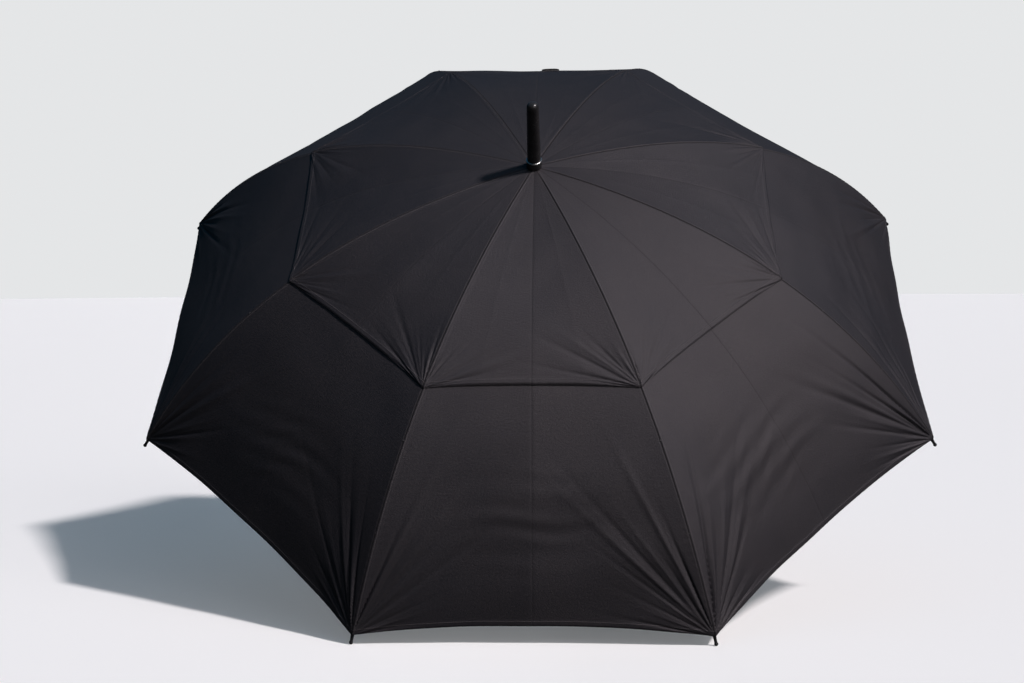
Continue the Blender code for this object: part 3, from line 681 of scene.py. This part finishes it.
FORK_START, FORK_LENGTH, OUTER_START = 0.0045, 0.012, 0.0040
outer_line = rod_centre(np.linspace(VENT_RADIUS, TIP_RADIUS, 30))
from_vent = unit(outer_line[1] - outer_line[0])
outer_line[0] += OUTER_START * from_vent
fork = leaning(teardrop((0, 0.006), (0, 0), 0.0019, 0.0023)[:, ::-1], flex_pivot, from_vent)
crimp = flex_pivot + FORK_START * from_vent
outer_metal = [
    cheek(fork, 0.0014, 0.0022),
    cheek(fork, -0.0022, -0.0014),
    band(crimp, flex_pivot + (FORK_START + FORK_LENGTH) * from_vent, 0.0025),
]
add_rods("outer", "outer_rib", outer_line, ROD_RADIUS, 20, outer_metal)


# ---- stretchers ----------------------------------------------------------------------------
# Straight struts of thinner glass fibre from each rib's bracket to the runner, with a plated
# eye crimped on at both ends.

STRETCHER_RADIUS = 0.0015
foot = np.array((PIVOT_RADIUS, 0, RUNNER_PIVOT_Z))
strut = unit(foot - bracket_pivot)
strut_line = np.linspace(bracket_pivot + 0.003 * strut, foot - 0.003 * strut, 24)
strut_metal = [
    eye(bracket_pivot, 0.0022, 0.0011),
    band(bracket_pivot + 0.0018 * strut, bracket_pivot + 0.014 * strut, 0.0019),
    eye(foot, 0.0019, 0.0011),
    band(foot - 0.014 * strut, foot - 0.0016 * strut, 0.0019),
]
add_rods("stretcher", "stretcher", strut_line, STRETCHER_RADIUS, 16, strut_metal)


# ---- rib tips ------------------------------------------------------------------------------
# A moulded cap on the end of each rib: a socket over the rod, a waist, and a small ball. The
# hem's corner is sewn to it.

TIP_SOCKET, TIP_REACH, BALL_RADIUS, WAIST_RADIUS = 0.014, 0.0122, 0.0028, 0.00215
SOCKET_RADIUS, SOCKET_BORE, SOCKET_FLOOR = 0.0026, 0.0021, -0.001
tip_seat = rod_centre(np.array([TIP_RADIUS]))[0]
tip_heading = unit((1.0, 0, -canopy_slope(TIP_RADIUS)))
ball_turn = np.linspace(0, math.radians(128), 14)
ball = np.stack([BALL_RADIUS * np.sin(ball_turn), TIP_REACH + BALL_RADIUS * np.cos(ball_turn)], -1)
waist = [(WAIST_RADIUS, TIP_REACH - 0.0030), (WAIST_RADIUS, 0.0050)]
socket = [(SOCKET_RADIUS, 0.0005), (SOCKET_RADIUS, -TIP_SOCKET), (SOCKET_BORE, -TIP_SOCKET)]
inside = [(SOCKET_BORE, SOCKET_FLOOR), (0, SOCKET_FLOOR)]
tip_run = np.concatenate([ball, rounded(waist + socket, 0.0009), inside])


def at_tip(points):
    """The cap's own length laid along the end of the rib."""
    aside = np.cross(SIDEWAYS, tip_heading)
    return tip_seat + points[:, 2:] * tip_heading + points[:, :1] * aside + points[:, 1:2] * SIDEWAYS


for k in RIBS:
    cap = on_rib([moved(lathe(tip_run, 32), at_tip)], k)
    add_piece(f"tip_cap_{k}", cap, glossy_plastic, f"outer_rib_{k}", [f"tip_{k}"])


# ---- canopy cloth --------------------------------------------------------------------------
# Black polyester pongee, cut in panels and sewn along the ribs with felled seams. Each object
# is the cloth half a panel wide on both sides of one rib, so that it can fold with that rib.

CLOTH, LAYER_DROP, SAG = 0.0005, 0.0026, 0.0036
LOWER_START, UPPER_START = 0.3575, 0.009
LOWER_HEM_RISE, UPPER_HEM_RISE = 0.0115, 0.012
HEM_BAND, HEM_EXTRA, HEM_CURL = 0.009, 0.0004, 0.0011
SEAM_ROW, HEM_ROW, STITCH = 0.0030, 0.0075, 0.0030
CLOTH_DARK, CLOTH_PALE = (0.0020, 0.0030, 0.0060), (0.0190, 0.0155, 0.0160)
COATING_DARK, COATING_PALE = (0.022, 0.022, 0.024), (0.040, 0.039, 0.042)
# The middle colour here is painted shade: the near-black laid along each seam and down each panel's middle
# crease.
SEAM_THREAD, PAINTED_CREASE_SHADE, SHEEN = (0.050, 0.045, 0.047), (0.001, 0.001, 0.001), (1.0, 0.93, 0.97, 1)

# Plain weave: crossing threads, as the product of two waves over the cloth's own distances.
weave_inputs = [("Place", "Vector", None), ("Threads", "Float", 6000.0)]
weave, given, put = new_group("plain_weave", weave_inputs, ["Height", "Slub"])
split = node(weave, "SeparateXYZ", {0: given["Place"]}).outputs
waves = [maths(weave, "SINE", maths(weave, "MULTIPLY", split[axis], given["Threads"])) for axis in (0, 1)]
weave.links.new(maths(weave, "MULTIPLY", waves[0], waves[1]), put["Height"])
uneven = {"Vector": given["Place"], "Scale": 340.0, "Detail": 3.0, "Roughness": 0.7}
slub = node(weave, "TexNoise", uneven).outputs["Fac"]
weave.links.new(ramp(weave, slub, 0.3, 0.7), put["Slub"])

# Stitch row: dashes of thread at a set distance from an edge, 1 on the thread and 0 off it.
stitch_inputs = [(label, "Float", 0.003) for label in ("Off", "Along", "Row", "Pitch")]
stitches, given, put = new_group("stitch_row", stitch_inputs, ["Thread"])
near = maths(stitches, "ABSOLUTE", maths(stitches, "SUBTRACT", given["Off"], given["Row"]))
beat = maths(stitches, "FRACT", maths(stitches, "DIVIDE", given["Along"], given["Pitch"]))
off_beat = maths(stitches, "ABSOLUTE", maths(stitches, "SUBTRACT", beat, 0.5))
on_row = ramp(stitches, near, 0.0002, 0.0005, 1.0, 0.0)
on_dash = ramp(stitches, off_beat, 0.32, 0.40, 1.0, 0.0)
stitches.links.new(maths(stitches, "MULTIPLY", on_row, on_dash), put["Thread"])


def measure(tree, name):
    return node(tree, "Attribute", attribute_name=name).outputs["Fac"]


pongee, tree, shader = new_material("pongee", Specular_IOR_Level=0.5, Specular_Tint=SHEEN)
own = node(tree, "UVMap").outputs["UV"]
place = node(tree, "TexCoord").outputs["Object"]
cloth = use(tree, weave, Place=own)
cloudy = use(tree, handling, Place=place, Size=5.0)["Amount"]
ways = node(tree, "SeparateXYZ", {0: own}).outputs
from_rib, from_hem = measure(tree, "from_rib"), measure(tree, "from_hem")
seam_row = use(tree, stitches, Off=from_rib, Along=ways[1], Row=SEAM_ROW, Pitch=STITCH)["Thread"]
hem_row = use(tree, stitches, Off=from_hem, Along=ways[0], Row=HEM_ROW, Pitch=STITCH)["Thread"]
thread = maths(tree, "MAXIMUM", seam_row, hem_row)
tint = maths(tree, "MULTIPLY_ADD", cloth["Slub"], 0.45, maths(tree, "MULTIPLY", cloudy, 0.35))
# Painted shade: the cloth turns near black in a narrow line just off each rib's seam and along the crease down
# each panel's middle, and is made rougher there. The stitching thread is laid over it.
beside = maths(tree, "ABSOLUTE", maths(tree, "ADD", from_rib, 0.0004))
seam_shade = ramp(tree, beside, 0.0004, 0.0014, 0.8, 0.0)
middle_crease_shade = ramp(tree, measure(tree, "from_middle"), 0.0003, 0.0011, 0.3, 0.0)
painted_shade = maths(tree, "MAXIMUM", seam_shade, middle_crease_shade)
outer_face = blended(tree, tint, CLOTH_DARK, CLOTH_PALE)
inner_face = blended(tree, tint, COATING_DARK, COATING_PALE)
either_face = blended(tree, measure(tree, "inside"), outer_face, inner_face)
thread_and_painted_shade = blended(tree, thread, blended(tree, painted_shade, either_face, PAINTED_CREASE_SHADE), SEAM_THREAD)
dull = maths(tree, "MULTIPLY_ADD", cloth["Slub"], 0.14, 0.53)
feed(tree, shader, Base_Color=thread_and_painted_shade, Roughness=maths(tree, "MULTIPLY_ADD", painted_shade, 0.42, dull))
raised = maths(tree, "MULTIPLY_ADD", cloth["Height"], 0.35, maths(tree, "MULTIPLY", thread, 1.5))
bumped(tree, shader, 0.7, 0.00028, maths(tree, "MULTIPLY_ADD", cloth["Slub"], 0.9, raised))

# The panel's flat pattern: distance down its centre line against the rib's radius.
radii = np.linspace(0, TIP_RADIUS, 1301)
rib_step = np.hypot(np.diff(radii), np.diff(canopy_drop(radii)))
widening = np.diff(radii) * math.sin(HALF_STEP)
rib_run = np.concatenate([[0], np.cumsum(rib_step)])
centre_run = np.concatenate([[0], np.cumsum(np.sqrt(rib_step**2 - widening**2))])


def spaced(count, distances, spacings):
    """Shares from 0 to 1 whose steps follow the wished spacing at each of the given distances."""
    fine = np.linspace(distances[0], distances[-1], 4001)
    run = np.concatenate([[0], np.cumsum(1 / np.interp((fine[1:] + fine[:-1]) / 2, distances, spacings))])
    place = np.interp(np.linspace(0, run[-1], count), run, fine)
    return (place - place[0]) / (place[-1] - place[0])


def fold_fan(across, down, corner, first, last, count, height, length, dice):
    """Pleats that radiate from a corner of the panel: ridges and furrows that are bell curves of
    the angle about the corner, rising with distance to their height and dying away beyond length."""
    out, up = corner[0] - across, corner[1] - down
    distance, angle = np.hypot(out, up), np.arctan2(out, up)
    total = np.zeros_like(distance)
    for step in range(count):
        middle = first + (last - first) * ((step + 0.5 + dice.uniform(-0.22, 0.22)) / count) ** 1.15
        furrow = step % 2 == 0
        width = (last - first) / count * dice.uniform(0.22, 0.34) * (0.72 if furrow else 1.15)
        reach = length * dice.uniform(0.65, 1.5)
        size = height * dice.uniform(0.55, 1.15) * (-1.1 if furrow else 0.9)
        pleat = size * np.exp(-(((angle - middle) / width) ** 2))
        total += pleat * distance / reach * np.exp(0.5 - 0.5 * (distance / reach) ** 2)
    return total


def corner_fans(fans, across, down, corner, dice):
    """The fans at both corners of a panel, each (first angle, last, pleats, height, length)."""
    return sum(fold_fan(side * across, down, corner, *fan, dice) for side in (1, -1) for fan in fans)


def swell(across, down, count, height, short, long, dice):
    """Broad soft waves: plane waves of random direction, length and phase added together."""
    total = np.zeros_like(across)
    for _ in range(count):
        way, size = dice.uniform(0, math.pi), dice.uniform(short, long)
        run = across * math.cos(way) + down * math.sin(way)
        total += np.sin(run * 2 * math.pi / size + dice.uniform(0, 6.28))
    return total * height / math.sqrt(count)


UPPER_FANS = ((0.42, 1.52, 9, 0.0011, 0.026), (0.75, 1.45, 5, 0.0012, 0.046))
LOWER_FANS = ((0.38, 1.56, 10, 0.0014, 0.038), (0.39, 0.95, 7, 0.0019, 0.080))
CREASE_HEIGHT = 0.00055

# How loosely each panel is stretched, panel 1 lying between ribs 1 and 2.
SLACK = {1: 0.45, 2: 0.5, 3: 0.8, 4: 1.35, 5: 0.85, 6: 1.0, 7: 0.9, 8: 0.5}


def panel_relief(panel, layer, radius, across):
    """How far a panel's cloth stands off the straight chord between its two ribs. It depends only
    on the place in the panel, so the two halves, on different ribs, meet exactly."""
    dice = np.random.default_rng(40 * panel + (7 if layer == "lower" else 3))
    half = radius * math.sin(HALF_STEP)
    down = np.interp(radius, radii, centre_run)
    share = np.abs(across) / half
    off_rib = half - np.abs(across)
    free = 1 - np.exp(-((off_rib / 0.030) ** 2))
    total = -SAG * (half / (TIP_RADIUS * math.sin(HALF_STEP))) * (1 - share**2)
    lines = -0.00022 * np.exp(-np.abs(across) / 0.0018)
    if layer == "upper":
        corner = (VENT_RADIUS * math.sin(HALF_STEP), np.interp(VENT_RADIUS, radii, centre_run))
        total += corner_fans(UPPER_FANS, across, down, corner, dice)
        total += free * swell(across, down, 5, 0.00035, 0.06, 0.12, dice)
        quarter = np.abs(across) - half / 2
        lines += 0.00022 * np.exp(-np.abs(quarter) / 0.0030) * np.clip(radius / 0.1, 0, 1)
        lift = np.exp(-(VENT_RADIUS * (1 - UPPER_HEM_RISE) - radius).clip(0) / 0.012)
        return total + lines + 0.0009 * (1 - share**2) * lift
    clear = np.clip((radius - VENT_RADIUS * 0.985) / 0.05, 0, 1)
    clear = clear * clear * (3 - 2 * clear)
    corner = (TIP_RADIUS * math.sin(HALF_STEP), centre_run[-1])
    fans = corner_fans(LOWER_FANS, across, down, corner, dice)
    middle, spot = dice.uniform(-0.05, 0.05), corner[1] - dice.uniform(0.13, 0.17)
    bend = 0.12 * across + 0.010 * np.sin(across / 0.045 + dice.uniform(0, 6))
    creases = np.sin((down + bend) * 2 * math.pi / 0.034)
    creases += 0.3 * np.sin((down + 2.2 * bend) * 2 * math.pi / 0.023 + 1)
    creases *= np.exp(-(((down - spot) / 0.055) ** 2) - ((across - middle) / 0.085) ** 2)
    loose = SLACK[panel] * (fans + CREASE_HEIGHT * creases * free)
    return total + lines + clear * (loose + free * swell(across, down, 6, 0.00075, 0.08, 0.17, dice))


def panel_normal(radius, side):
    """Square to the chord's plane: side is 1 or -1 on the panels beside a rib, between on the rib."""
    slope = canopy_slope(radius)
    across, up = side * slope * math.sin(HALF_STEP), math.cos(HALF_STEP) + 0 * slope
    normal = np.stack([slope * math.cos(HALF_STEP), across, up], -1)
    return normal / np.linalg.norm(normal, axis=-1, keepdims=True)


def cloth_half(k, layer, radius, along, rise_to_hem):
    """Points of a gore in rib k's frame: the straight chord from the rib to the panel's middle,
    (x - a sin h, a cos h, z) for a distance a off the rib, moved along its normal by the relief."""
    below = LAYER_DROP * (1 - outer_share(radius)) if layer == "lower" else 0 * radius
    x, z = under_canopy(radius, below)
    half = x * math.sin(HALF_STEP)
    side, off_rib = np.sign(along), np.abs(along) * half
    base = np.stack([x - off_rib * math.sin(HALF_STEP), side * off_rib * math.cos(HALF_STEP), z], -1)
    normal = panel_normal(radius, np.tanh(side * off_rib / 0.004))
    in_panel = radius * math.sin(HALF_STEP) * (1 - np.abs(along))
    before = panel_relief((k - 2) % 8 + 1, layer, radius, -in_panel)
    relief = np.where(side > 0, before, panel_relief(k, layer, radius, in_panel))
    down = np.interp(radius, radii, rib_run)
    signed = side * off_rib
    seam = 0.00045 * np.exp(-(((signed - 0.0016) / 0.0010) ** 2))
    seam -= 0.00070 * np.exp(-(((signed + 0.0004) / 0.0009) ** 2))
    seam += 0.00022 / (1 + np.exp((np.abs(signed - 0.0040) - 0.0028) / 0.0004))
    pucker = 0.00016 * np.sin(down * 2 * math.pi / 0.0115 + k) * np.exp(-off_rib / 0.009)
    hem = 0.00015 * np.sin(signed * 2 * math.pi / 0.0125 + k) * np.exp(-rise_to_hem / 0.008)
    start = np.clip((radius - 0.012) / 0.03, 0, 1)
    relief = relief + start * (seam + pucker + hem)
    relief = relief + 0.00025 / (1 + np.exp((rise_to_hem - HEM_BAND) / 0.0005))
    relief = relief - HEM_CURL * np.exp(-((rise_to_hem / 0.0014) ** 2))
    return base + normal * relief[..., None], down, signed, in_panel


def add_gore(k, layer, body):
    """One gore: outer and inner faces a cloth's thickness apart, closed round the edge, with its
    distances from hem, rib and panel middle kept on its points for the stitching and for the painted
    shade along the seam and the middle crease. Its grid is finest at the seam, at the panel's middle
    and at the hem."""
    if layer == "upper":
        inner, outer, rise = UPPER_START, VENT_RADIUS, UPPER_HEM_RISE
        places, steps = [0, 0.010, 0.045, 0.115, 0.140, 0.149], [0.0008, 0.0014, 0.0024, 0.0042, 0.0022, 0.0009]
        sides = spaced(61, places, steps)
        ways = spaced(100, [0, 0.28, 0.36, 0.39, 0.40], [0.0070, 0.0052, 0.0026, 0.0016, 0.0005])
    else:
        inner, outer, rise = LOWER_START, TIP_RADIUS, LOWER_HEM_RISE
        places, steps = [0, 0.010, 0.060, 0.180, 0.235, 0.249], [0.0008, 0.0015, 0.0024, 0.0052, 0.0030, 0.0010]
        sides = spaced(81, places, steps)
        ways = spaced(132, [0, 0.15, 0.26, 0.34, 0.37], [0.0046, 0.0042, 0.0024, 0.0015, 0.0005])
    along = np.concatenate([-sides[::-1], sides[1:]])
    side, way = np.meshgrid(along, ways)
    hem = outer * (1 - rise * (1 - (1 - np.abs(side)) ** 2.6))
    radius = inner + way * (hem - inner)
    run, run_inner = np.interp(radius, radii, rib_run), np.interp(inner, radii, rib_run)
    to_hem = np.interp(hem, radii, rib_run) - run
    if layer == "lower":
        to_hem = np.minimum(to_hem, run - run_inner)
    points, down, signed, in_panel = cloth_half(k, layer, radius, side, to_hem)
    normal = np.cross(np.gradient(points, axis=0), np.gradient(points, axis=1))
    normal /= np.linalg.norm(normal, axis=-1, keepdims=True)
    thick = CLOTH + HEM_EXTRA / (1 + np.exp((to_hem - HEM_BAND) / 0.0005))
    shell = np.stack([points, points - normal * thick[..., None]]).reshape(-1, 3)
    size = points.shape[0] * points.shape[1]
    index = np.arange(size).reshape(points.shape[:2])
    face = np.stack([index[:-1, :-1], index[1:, :-1], index[1:, 1:], index[:-1, 1:]], -1).reshape(-1, 4)
    edge = np.concatenate([index[:, 0], index[-1, 1:], index[-2::-1, -1], index[0, -2:0:-1]])
    after = np.roll(edge, -1)
    rim = np.stack([edge, edge + size, after + size, after], -1)
    quads = np.concatenate([face, face[:, ::-1] + size, rim])
    name = f"{layer}_canopy_{k}"
    data = bpy.data.meshes.new(name)
    data.from_pydata(placed(at_rib(shell, k)), [], quads.tolist())
    uv = np.tile(np.stack([signed, down], -1).reshape(-1, 2), (2, 1)).astype(np.float32)
    data.uv_layers.new(name="pattern").data.foreach_set("uv", uv[quads.ravel()].ravel())
    measures = {"from_hem": to_hem, "from_rib": signed, "from_middle": in_panel}
    on_points = {label: np.tile(values.ravel(), 2) for label, values in measures.items()}
    on_points["inside"] = np.repeat([0.0, 1.0], size)
    for label, values in on_points.items():
        attribute = data.attributes.new(label, "FLOAT", "POINT")
        attribute.data.foreach_set("value", values.astype(np.float32))
    data.shade_smooth()
    data.set_sharp_from_angle(angle=math.radians(62))
    data.materials.append(pongee)
    made = bpy.data.objects.new(name, data)
    scene.collection.objects.link(made)
    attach(made, body)
    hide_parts(f"{layer}_gore_{k}")
    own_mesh(made)


for k in RIBS:
    add_gore(k, "lower", f"outer_rib_{k}")
    add_gore(k, "upper", f"rib_{k}")


# ---- rib ties ------------------------------------------------------------------------------
# Loops of black thread that hold the cloth to each rod, sewn through the seam and drawn round
# the rib twice.

TIE_RADIUS, TIE_SPACING = 0.00040, 0.00045
INNER_TIES, OUTER_TIES = (0.16, 0.335), (0.455, 0.555)


def tie(radius):
    """A stadium-shaped loop across the rib, from the cloth above it to just below the rod."""
    centre = rod_centre(np.array([radius]))[0]
    slope = canopy_slope(radius)
    outwards = np.array((slope, 0, 1.0)) / math.hypot(1, slope)
    heading = np.array((1.0, 0, -slope)) / math.hypot(1, slope)
    above = 0.0052 - 0.0022 * outer_share(radius)
    turn = np.linspace(0, 2 * math.pi, 33)
    tall = np.where(np.cos(turn) > 0, above, ROD_RADIUS + TIE_RADIUS)
    wide = np.sin(turn) * (ROD_RADIUS + TIE_RADIUS)
    loop = centre + (np.cos(turn) * tall)[:, None] * outwards + wide[:, None] * SIDEWAYS
    spin = np.linspace(0, 2 * math.pi, 9)
    away = np.cos(turn)[:, None] * outwards + np.sin(turn)[:, None] * SIDEWAYS
    tube = np.cos(spin)[:, None] * away[:, None] + np.sin(spin)[:, None] * heading
    return [skin(loop[:, None] + shift * heading + TIE_RADIUS * tube) for shift in (-TIE_SPACING, TIE_SPACING)]


thread_finish, tree, shader = new_material("sewing_thread", Roughness=0.7, Sheen_Weight=0.2)
own = node(tree, "UVMap").outputs["UV"]
twist = {"Vector": own, "Scale": 900.0, "Distortion": 1.5}
ply = node(tree, "TexWave", twist, bands_direction="DIAGONAL").outputs["Fac"]
feed(tree, shader, Base_Color=blended(tree, ply, (0.012, 0.011, 0.012), (0.035, 0.032, 0.034)))
bumped(tree, shader, 0.5, 0.0001, ply)
for k in RIBS:
    for start, radii_tied in (("rib", INNER_TIES), ("outer_rib", OUTER_TIES)):
        loops = on_rib([loop for radius in radii_tied for loop in tie(radius)], k)
        add_piece(f"{start}_ties_{k}", loops, thread_finish, f"{start}_{k}")


# ---- tie strap -----------------------------------------------------------------------------
# The narrow band that holds the furled canopy: a strip of webbing sewn to the rear panel and
# folded back on itself, so that it lies flat there in two layers.

STRAP_RIB, STRAP_WIDTH, STRAP_CLOTH = 2, 0.030, 0.0012
STRAP_FROM, STRAP_TO, STRAP_MIDDLE = 0.662 * TIP_RADIUS, 0.798 * TIP_RADIUS, 0.020
FOLD_ROOM, END_ROOM, UNDER_HEIGHT, FOLD_HEIGHT, TOP_HEIGHT = 0.003, 0.006, 0.0010, 0.0021, 0.0032


def on_panel(radius, from_middle, above):
    """Points above the rear panel's cloth, at a distance from its centre line on rib 2's side."""
    below = LAYER_DROP * (1 - outer_share(radius))
    x, z = under_canopy(radius, below)
    half = radius * math.sin(HALF_STEP)
    relief = panel_relief(1, "lower", radius, -from_middle)
    off_rib = half - from_middle
    base = np.stack([x - off_rib * math.sin(HALF_STEP), off_rib * math.cos(HALF_STEP), z], -1)
    return base + panel_normal(radius, 1) * (relief + above)[..., None]


way = np.linspace(0, 1, 60)
bend = np.linspace(-math.pi / 2, math.pi / 2, 17)[1:-1]
fold = STRAP_TO - FOLD_ROOM
lower_run = np.stack([STRAP_FROM + (fold - STRAP_FROM) * way, np.full(60, UNDER_HEIGHT)], -1)
turn_run = np.stack([fold + 0.0013 * np.cos(bend), FOLD_HEIGHT + 0.0011 * np.sin(bend)], -1)
ripple = TOP_HEIGHT + 0.0004 * np.sin(way * math.pi * 2.3)
upper_run = np.stack([fold + (STRAP_FROM + END_ROOM - fold) * way, ripple], -1)
strap_run = np.concatenate([lower_run, turn_run, upper_run])
heading = np.gradient(strap_run, axis=0)
heading /= np.linalg.norm(heading, axis=1, keepdims=True)
sideways = np.stack([-heading[:, 1], heading[:, 0]], -1)
width = np.linspace(-0.5, 0.5, 25) * STRAP_WIDTH
rounding = STRAP_CLOTH / 2 * np.sqrt(np.clip(1 - (np.abs(width) / (0.5 * STRAP_WIDTH)) ** 14, 0, 1))
strap_sides = []
for face in (1, -1):
    spots = strap_run[:, None] + face * sideways[:, None] * rounding[None, :, None]
    above = spots[..., 1] * (1 - 0.35 * (2 * np.abs(width) / STRAP_WIDTH) ** 4)
    from_middle = STRAP_MIDDLE + np.broadcast_to(width, spots.shape[:2])
    strap_sides.append(on_panel(spots[..., 0], from_middle, above))
band_grid = np.concatenate([strap_sides[0], strap_sides[1][:, ::-1]], axis=1)
band_grid = np.concatenate([band_grid, band_grid[:, :1]], axis=1)
caps = [np.broadcast_to(band_grid[end].mean(0), band_grid[end].shape)[None] for end in (0, -1)]
band_grid = np.concatenate([caps[0], band_grid, caps[1]])

webbing, tree, shader = new_material("webbing", Roughness=0.6, Sheen_Weight=0.15)
own = node(tree, "UVMap").outputs["UV"]
cloth = use(tree, weave, Place=own, Threads=2800.0)
marks = use(tree, handling, Place=node(tree, "TexCoord").outputs["Object"], Size=30.0)["Amount"]
tint = maths(tree, "MULTIPLY_ADD", cloth["Height"], 0.25, maths(tree, "MULTIPLY_ADD", marks, 0.4, 0.25))
feed(tree, shader, Base_Color=blended(tree, tint, (0.012, 0.011, 0.012), (0.034, 0.031, 0.033)))
bumped(tree, shader, 0.6, 0.0003, cloth["Height"])

shape, body = on_rib([skin(band_grid)], STRAP_RIB), f"outer_rib_{STRAP_RIB}"
strap = add_piece("tie_strap_band", shape, webbing, body, ["tie_strap"], 50)
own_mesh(strap)
strap_line = on_panel(strap_run[:, 0], np.full(len(strap_run), STRAP_MIDDLE), strap_run[:, 1])


# ---- handle --------------------------------------------------------------------------------
# A straight grip of closed-cell foam rubber, stretched over the shaft and a little fuller at the
# palm, and a moulded cap that closes the end.

HANDLE_TOP, HANDLE_END, GRIP_RADIUS, SHOULDER = 0.765, 0.905, 0.016, 0.0068
CAP_HEIGHT, CAP_CORNER, CAP_GAP, GROOVE_DEPTH, DIMPLE_DEPTH = 0.012, 0.005, 0.0003, 0.0005, 0.0006
foam, tree, shader = new_material("foam_rubber", Specular_IOR_Level=0.3)
place = node(tree, "TexCoord").outputs["Object"]
cells = node(tree, "TexVoronoi", {"Vector": place, "Scale": 1100.0}).outputs["Distance"]
rough = node(tree, "TexNoise", {"Vector": place, "Scale": 260.0, "Detail": 3.0}).outputs["Fac"]
marks = use(tree, handling, Place=place, Size=35.0)["Amount"]
feed(tree, shader, Base_Color=blended(tree, marks, (0.017, 0.017, 0.017), (0.036, 0.035, 0.035)))
feed(tree, shader, Roughness=maths(tree, "MULTIPLY_ADD", marks, -0.12, 0.88))
bumped(tree, shader, 0.7, 0.0004, maths(tree, "ADD", cells, rough))

heights = np.linspace(-HANDLE_TOP - 0.008, -(HANDLE_END - CAP_HEIGHT), 48)
palm = GRIP_RADIUS - 0.0016 * np.cos(math.pi * np.linspace(0, 1, 48)) ** 2
palm -= 0.00035 * np.exp(-(((heights + HANDLE_TOP + 0.012) / 0.0012) ** 2))
shoulder = np.linspace(math.pi / 2, 0.12, 10)
edge_radius = palm[0] - SHOULDER * (1 - np.cos(shoulder))
top_edge = np.stack([edge_radius, -HANDLE_TOP - SHOULDER + SHOULDER * np.sin(shoulder)], -1)
start, end = (BORE_RADIUS, -HANDLE_TOP), (BORE_RADIUS, heights[-1])
profile = np.concatenate([[start], top_edge, np.stack([palm, heights], -1), [end, start]])
add_piece("foam_grip", [moved(lathe(profile, 96), placed)], foam, "shaft", ["handle_grip"])
cap_top = -(HANDLE_END - CAP_HEIGHT) - CAP_GAP
dimple = -HANDLE_END + DIMPLE_DEPTH
rim = [(0, cap_top), (GRIP_RADIUS - 0.0014, cap_top), (GRIP_RADIUS, cap_top - 0.0012)]
groove_depths = ((0, 0.0040), (GROOVE_DEPTH, 0.0046), (0, 0.0052))
groove = [(GRIP_RADIUS - inwards, cap_top - below) for inwards, below in groove_depths]
base = [(GRIP_RADIUS, -HANDLE_END), (0.0085, -HANDLE_END), (0.0080, dimple), (0, dimple)]
cap_corners = [0.0006, 0.0006, 0.0003, 0.0003, 0.0003, CAP_CORNER, 0.0003, 0.0003]
profile = rounded(rim + groove + base, cap_corners, 8)
add_piece("grip_end_cap", [moved(lathe(profile, 96), placed)], nylon, "shaft", ["handle_cap"])
